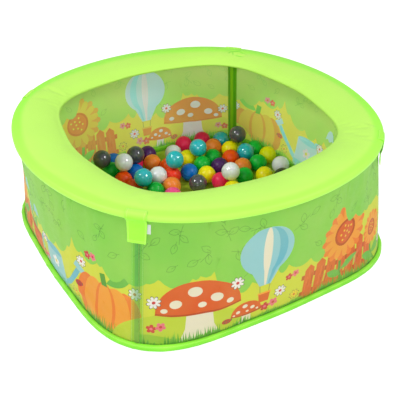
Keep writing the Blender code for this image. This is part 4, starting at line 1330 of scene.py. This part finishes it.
def ball_mesh(name, material):
    """A sphere with the fine ridge where the two halves of its mould met."""
    n, m = 40, 24
    verts, faces = [(0, 0, BALL_R)], []
    angles = [pi * k / m for k in range(1, m)]
    angles = sorted(set(angles + [pi / 2 - 0.02, pi / 2 - 0.009, pi / 2 + 0.009, pi / 2 + 0.02]))
    for a in angles:
        r = BALL_R - 0.00012 + (0.00022 if abs(a - pi / 2) < 0.01 else 0.0)
        for k in range(n):
            b = 2 * pi * k / n
            verts.append((r * sin(a) * cos(b), r * sin(a) * sin(b), r * cos(a)))
    verts.append((0, 0, -BALL_R))
    for i in range(len(angles) - 1):
        for k in range(n):
            a, b = 1 + i * n + k, 1 + i * n + (k + 1) % n
            faces.append((a, a + n, b + n, b))
    last = 1 + (len(angles) - 1) * n
    for k in range(n):
        faces.append((0, 1 + k, 1 + (k + 1) % n))
        faces.append((last + k, len(verts) - 1, last + (k + 1) % n))
    return mesh_object(name, verts, faces, material)


def build_balls():
    """All the balls: those with nodes where their nodes are, and the others on the floor among them."""
    body_of = {child.name: body for body, o in frame["bodies"].items() for child in o.children}
    materials = {k: ball_material(k, srgb(*v)) for k, v in BALL_COLOURS.items()}
    rng = np.random.default_rng(5)
    places = []
    for node in sorted(n for n in frame["nodes"] if n.startswith("ball_")):
        low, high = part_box(node)
        middle = (low + high) / 2
        # a node's name is ball_, two digits, _ and its colour
        places.append((*middle, node[8:], node, body_of[node]))
    for colour, x, y in MORE_BALLS:
        places.append((x * 2 * BALL_R, y * 2 * BALL_R, BALL_R + ON_FLOOR, colour, None, "pit"))
    for k, (x, y, z, colour, node, body) in enumerate(places):
        name = "round_" + node if node else f"loose_ball_{k + 1:02d}_{colour}"
        obj = ball_mesh(name, materials[colour])
        obj.data.transform(Euler(rng.uniform(0, 2 * pi, 3)).to_matrix().to_4x4())
        obj.location = (x, y, z + (ON_BALLS if z > UPPER else 0.0))
        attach(obj, body)
        if node:
            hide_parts(node)
    return [place[:2] for place in places]


# The stage
# Each softbox: azimuth and elevation in degrees, distance and size in metres, and watts.
SOFTBOXES = {
    "key": (-105, 50, 2.6, 0.6, 21),
    "fill": (38, 46, 2.6, 0.6, 19),
    "front": (-35, 25, 2.8, 1.6, 30),
}
AROUND, GROUND_GLOW = 0.5, 0.58
GROUND_SIZE, GROUND_Z, GROUND_GREY = 6, -0.0004, (0.82, 0.82, 0.82, 1)
# The camera, fitted to a picture of 400 by 400 pixels: focal length and picture centre in pixels,
# elevation and azimuth in degrees, and distance in metres.
PICTURE, FOCAL, CENTRE = 400, 689.25, (195.35, 222.6)
CAMERA_UP, CAMERA_ROUND, CAMERA_FAR = 35.294, 30.5, 1.959
SENSOR = 36


def either_ray(nodes, links, *kinds):
    """1 for rays of either kind."""
    path, either = nodes.new("ShaderNodeLightPath"), nodes.new("ShaderNodeMath")
    either.operation = "MAXIMUM"
    for kind, socket in zip(kinds, either.inputs):
        links.new(path.outputs[kind], socket)
    return either.outputs[0]


def emptied(owner):
    """The nodes and links of a new node tree."""
    owner.use_nodes = True
    owner.node_tree.nodes.clear()
    return owner.node_tree.nodes, owner.node_tree.links


def build_stage():
    world = bpy.data.worlds.new("studio")
    bpy.context.scene.world = world
    nodes, links = emptied(world)
    out, mix = nodes.new("ShaderNodeOutputWorld"), nodes.new("ShaderNodeMixShader")
    links.new(either_ray(nodes, links, "Is Camera Ray", "Is Transmission Ray"), mix.inputs[0])
    for strength, socket in ((AROUND, mix.inputs[1]), (1.0, mix.inputs[2])):
        light = nodes.new("ShaderNodeBackground")
        light.inputs[0].default_value, light.inputs[1].default_value = (1, 1, 1, 1), strength
        links.new(light.outputs[0], socket)
    links.new(mix.outputs[0], out.inputs[0])

    corners = [(x * GROUND_SIZE, y * GROUND_SIZE, GROUND_Z) for x, y in ((-1, -1), (1, -1), (1, 1), (-1, 1))]
    ground = mesh_object("stage_floor", corners, [(0, 1, 2, 3)], smooth=False)
    m = bpy.data.materials.new("stage_floor")
    nodes, links = emptied(m)
    out, add = nodes.new("ShaderNodeOutputMaterial"), nodes.new("ShaderNodeAddShader")
    diffuse, glow = nodes.new("ShaderNodeBsdfDiffuse"), nodes.new("ShaderNodeEmission")
    diffuse.inputs[0].default_value = GROUND_GREY
    scale = nodes.new("ShaderNodeMath")
    scale.operation = "MULTIPLY"
    scale.inputs[1].default_value = GROUND_GLOW
    links.new(either_ray(nodes, links, "Is Camera Ray", "Is Glossy Ray"), scale.inputs[0])
    links.new(scale.outputs[0], glow.inputs[1])
    for k, shader in enumerate((diffuse, glow)):
        links.new(shader.outputs[0], add.inputs[k])
    links.new(add.outputs[0], out.inputs[0])
    ground.data.materials.append(m)

    for name, (azimuth, elevation, distance, size, power) in SOFTBOXES.items():
        a, e = radians(azimuth), radians(elevation)
        lamp = bpy.data.lights.new(name, "AREA")
        lamp.shape, lamp.size, lamp.energy = "DISK", size, power
        obj = bpy.data.objects.new(name, lamp)
        obj.location = Vector((sin(a) * cos(e), -cos(a) * cos(e), sin(e))) * distance
        aim(obj)


def aim(obj):
    """Turns a lamp or the camera to the origin and puts it in the scene."""
    obj.rotation_mode = "QUATERNION"
    obj.rotation_quaternion = (-Vector(obj.location)).to_track_quat("-Z", "Y")
    bpy.context.scene.collection.objects.link(obj)


def build_camera():
    cam = bpy.data.cameras.new("camera")
    obj = bpy.data.objects.new("camera", cam)
    cam.sensor_width, cam.lens = SENSOR, FOCAL * SENSOR / PICTURE
    cam.shift_x, cam.shift_y = (PICTURE / 2 - CENTRE[0]) / PICTURE, (CENTRE[1] - PICTURE / 2) / PICTURE
    pitch, turn, far = radians(CAMERA_UP), radians(CAMERA_ROUND), CAMERA_FAR
    obj.location = (-far * cos(pitch) * sin(turn), -far * cos(pitch) * cos(turn), far * sin(pitch))
    aim(obj)
    cam.clip_start, cam.clip_end = 0.05, 50
    bpy.context.scene.camera = obj


def dress_cad():
    """Materials for the CAD nodes that stay."""
    for name, obj in frame["nodes"].items():
        finish = None
        if "hoop" in name:
            finish = STEEL
        elif name.startswith("post_") and "sleeve" not in name:
            finish = POST
        elif name == "rim_foam":
            finish = FOAM
        if finish:
            obj.data.materials.clear()
            obj.data.materials.append(finish)


def main():
    build_camera()
    build_stage()
    dress_cad()
    build_walls()
    build_rim()
    build_binding()
    build_floor(build_balls())
    for corner, degrees in CORNERS.items():
        build_sleeve(corner, degrees)
        build_tab(corner, degrees)
        panel = "wall_panel_right" if corner == "right" else "wall_panel_left"
        tab, hook, loop = "tab_" + corner, "wall_hook_patch_" + corner, "tab_loop_patch_" + corner
        build_patch("hook_" + corner, hook, "pit", degrees, *HOOK_PATCH, HOOK, "white_hook", panel)
        place = (LOOP_WIDTH, TAB_LEAN[corner], LOOP_OFF)
        build_patch("loop_" + corner, loop, tab, degrees, *place, LOOP, "lime_loop", tab)
    bpy.context.scene.view_settings.view_transform = "Standard"


main()
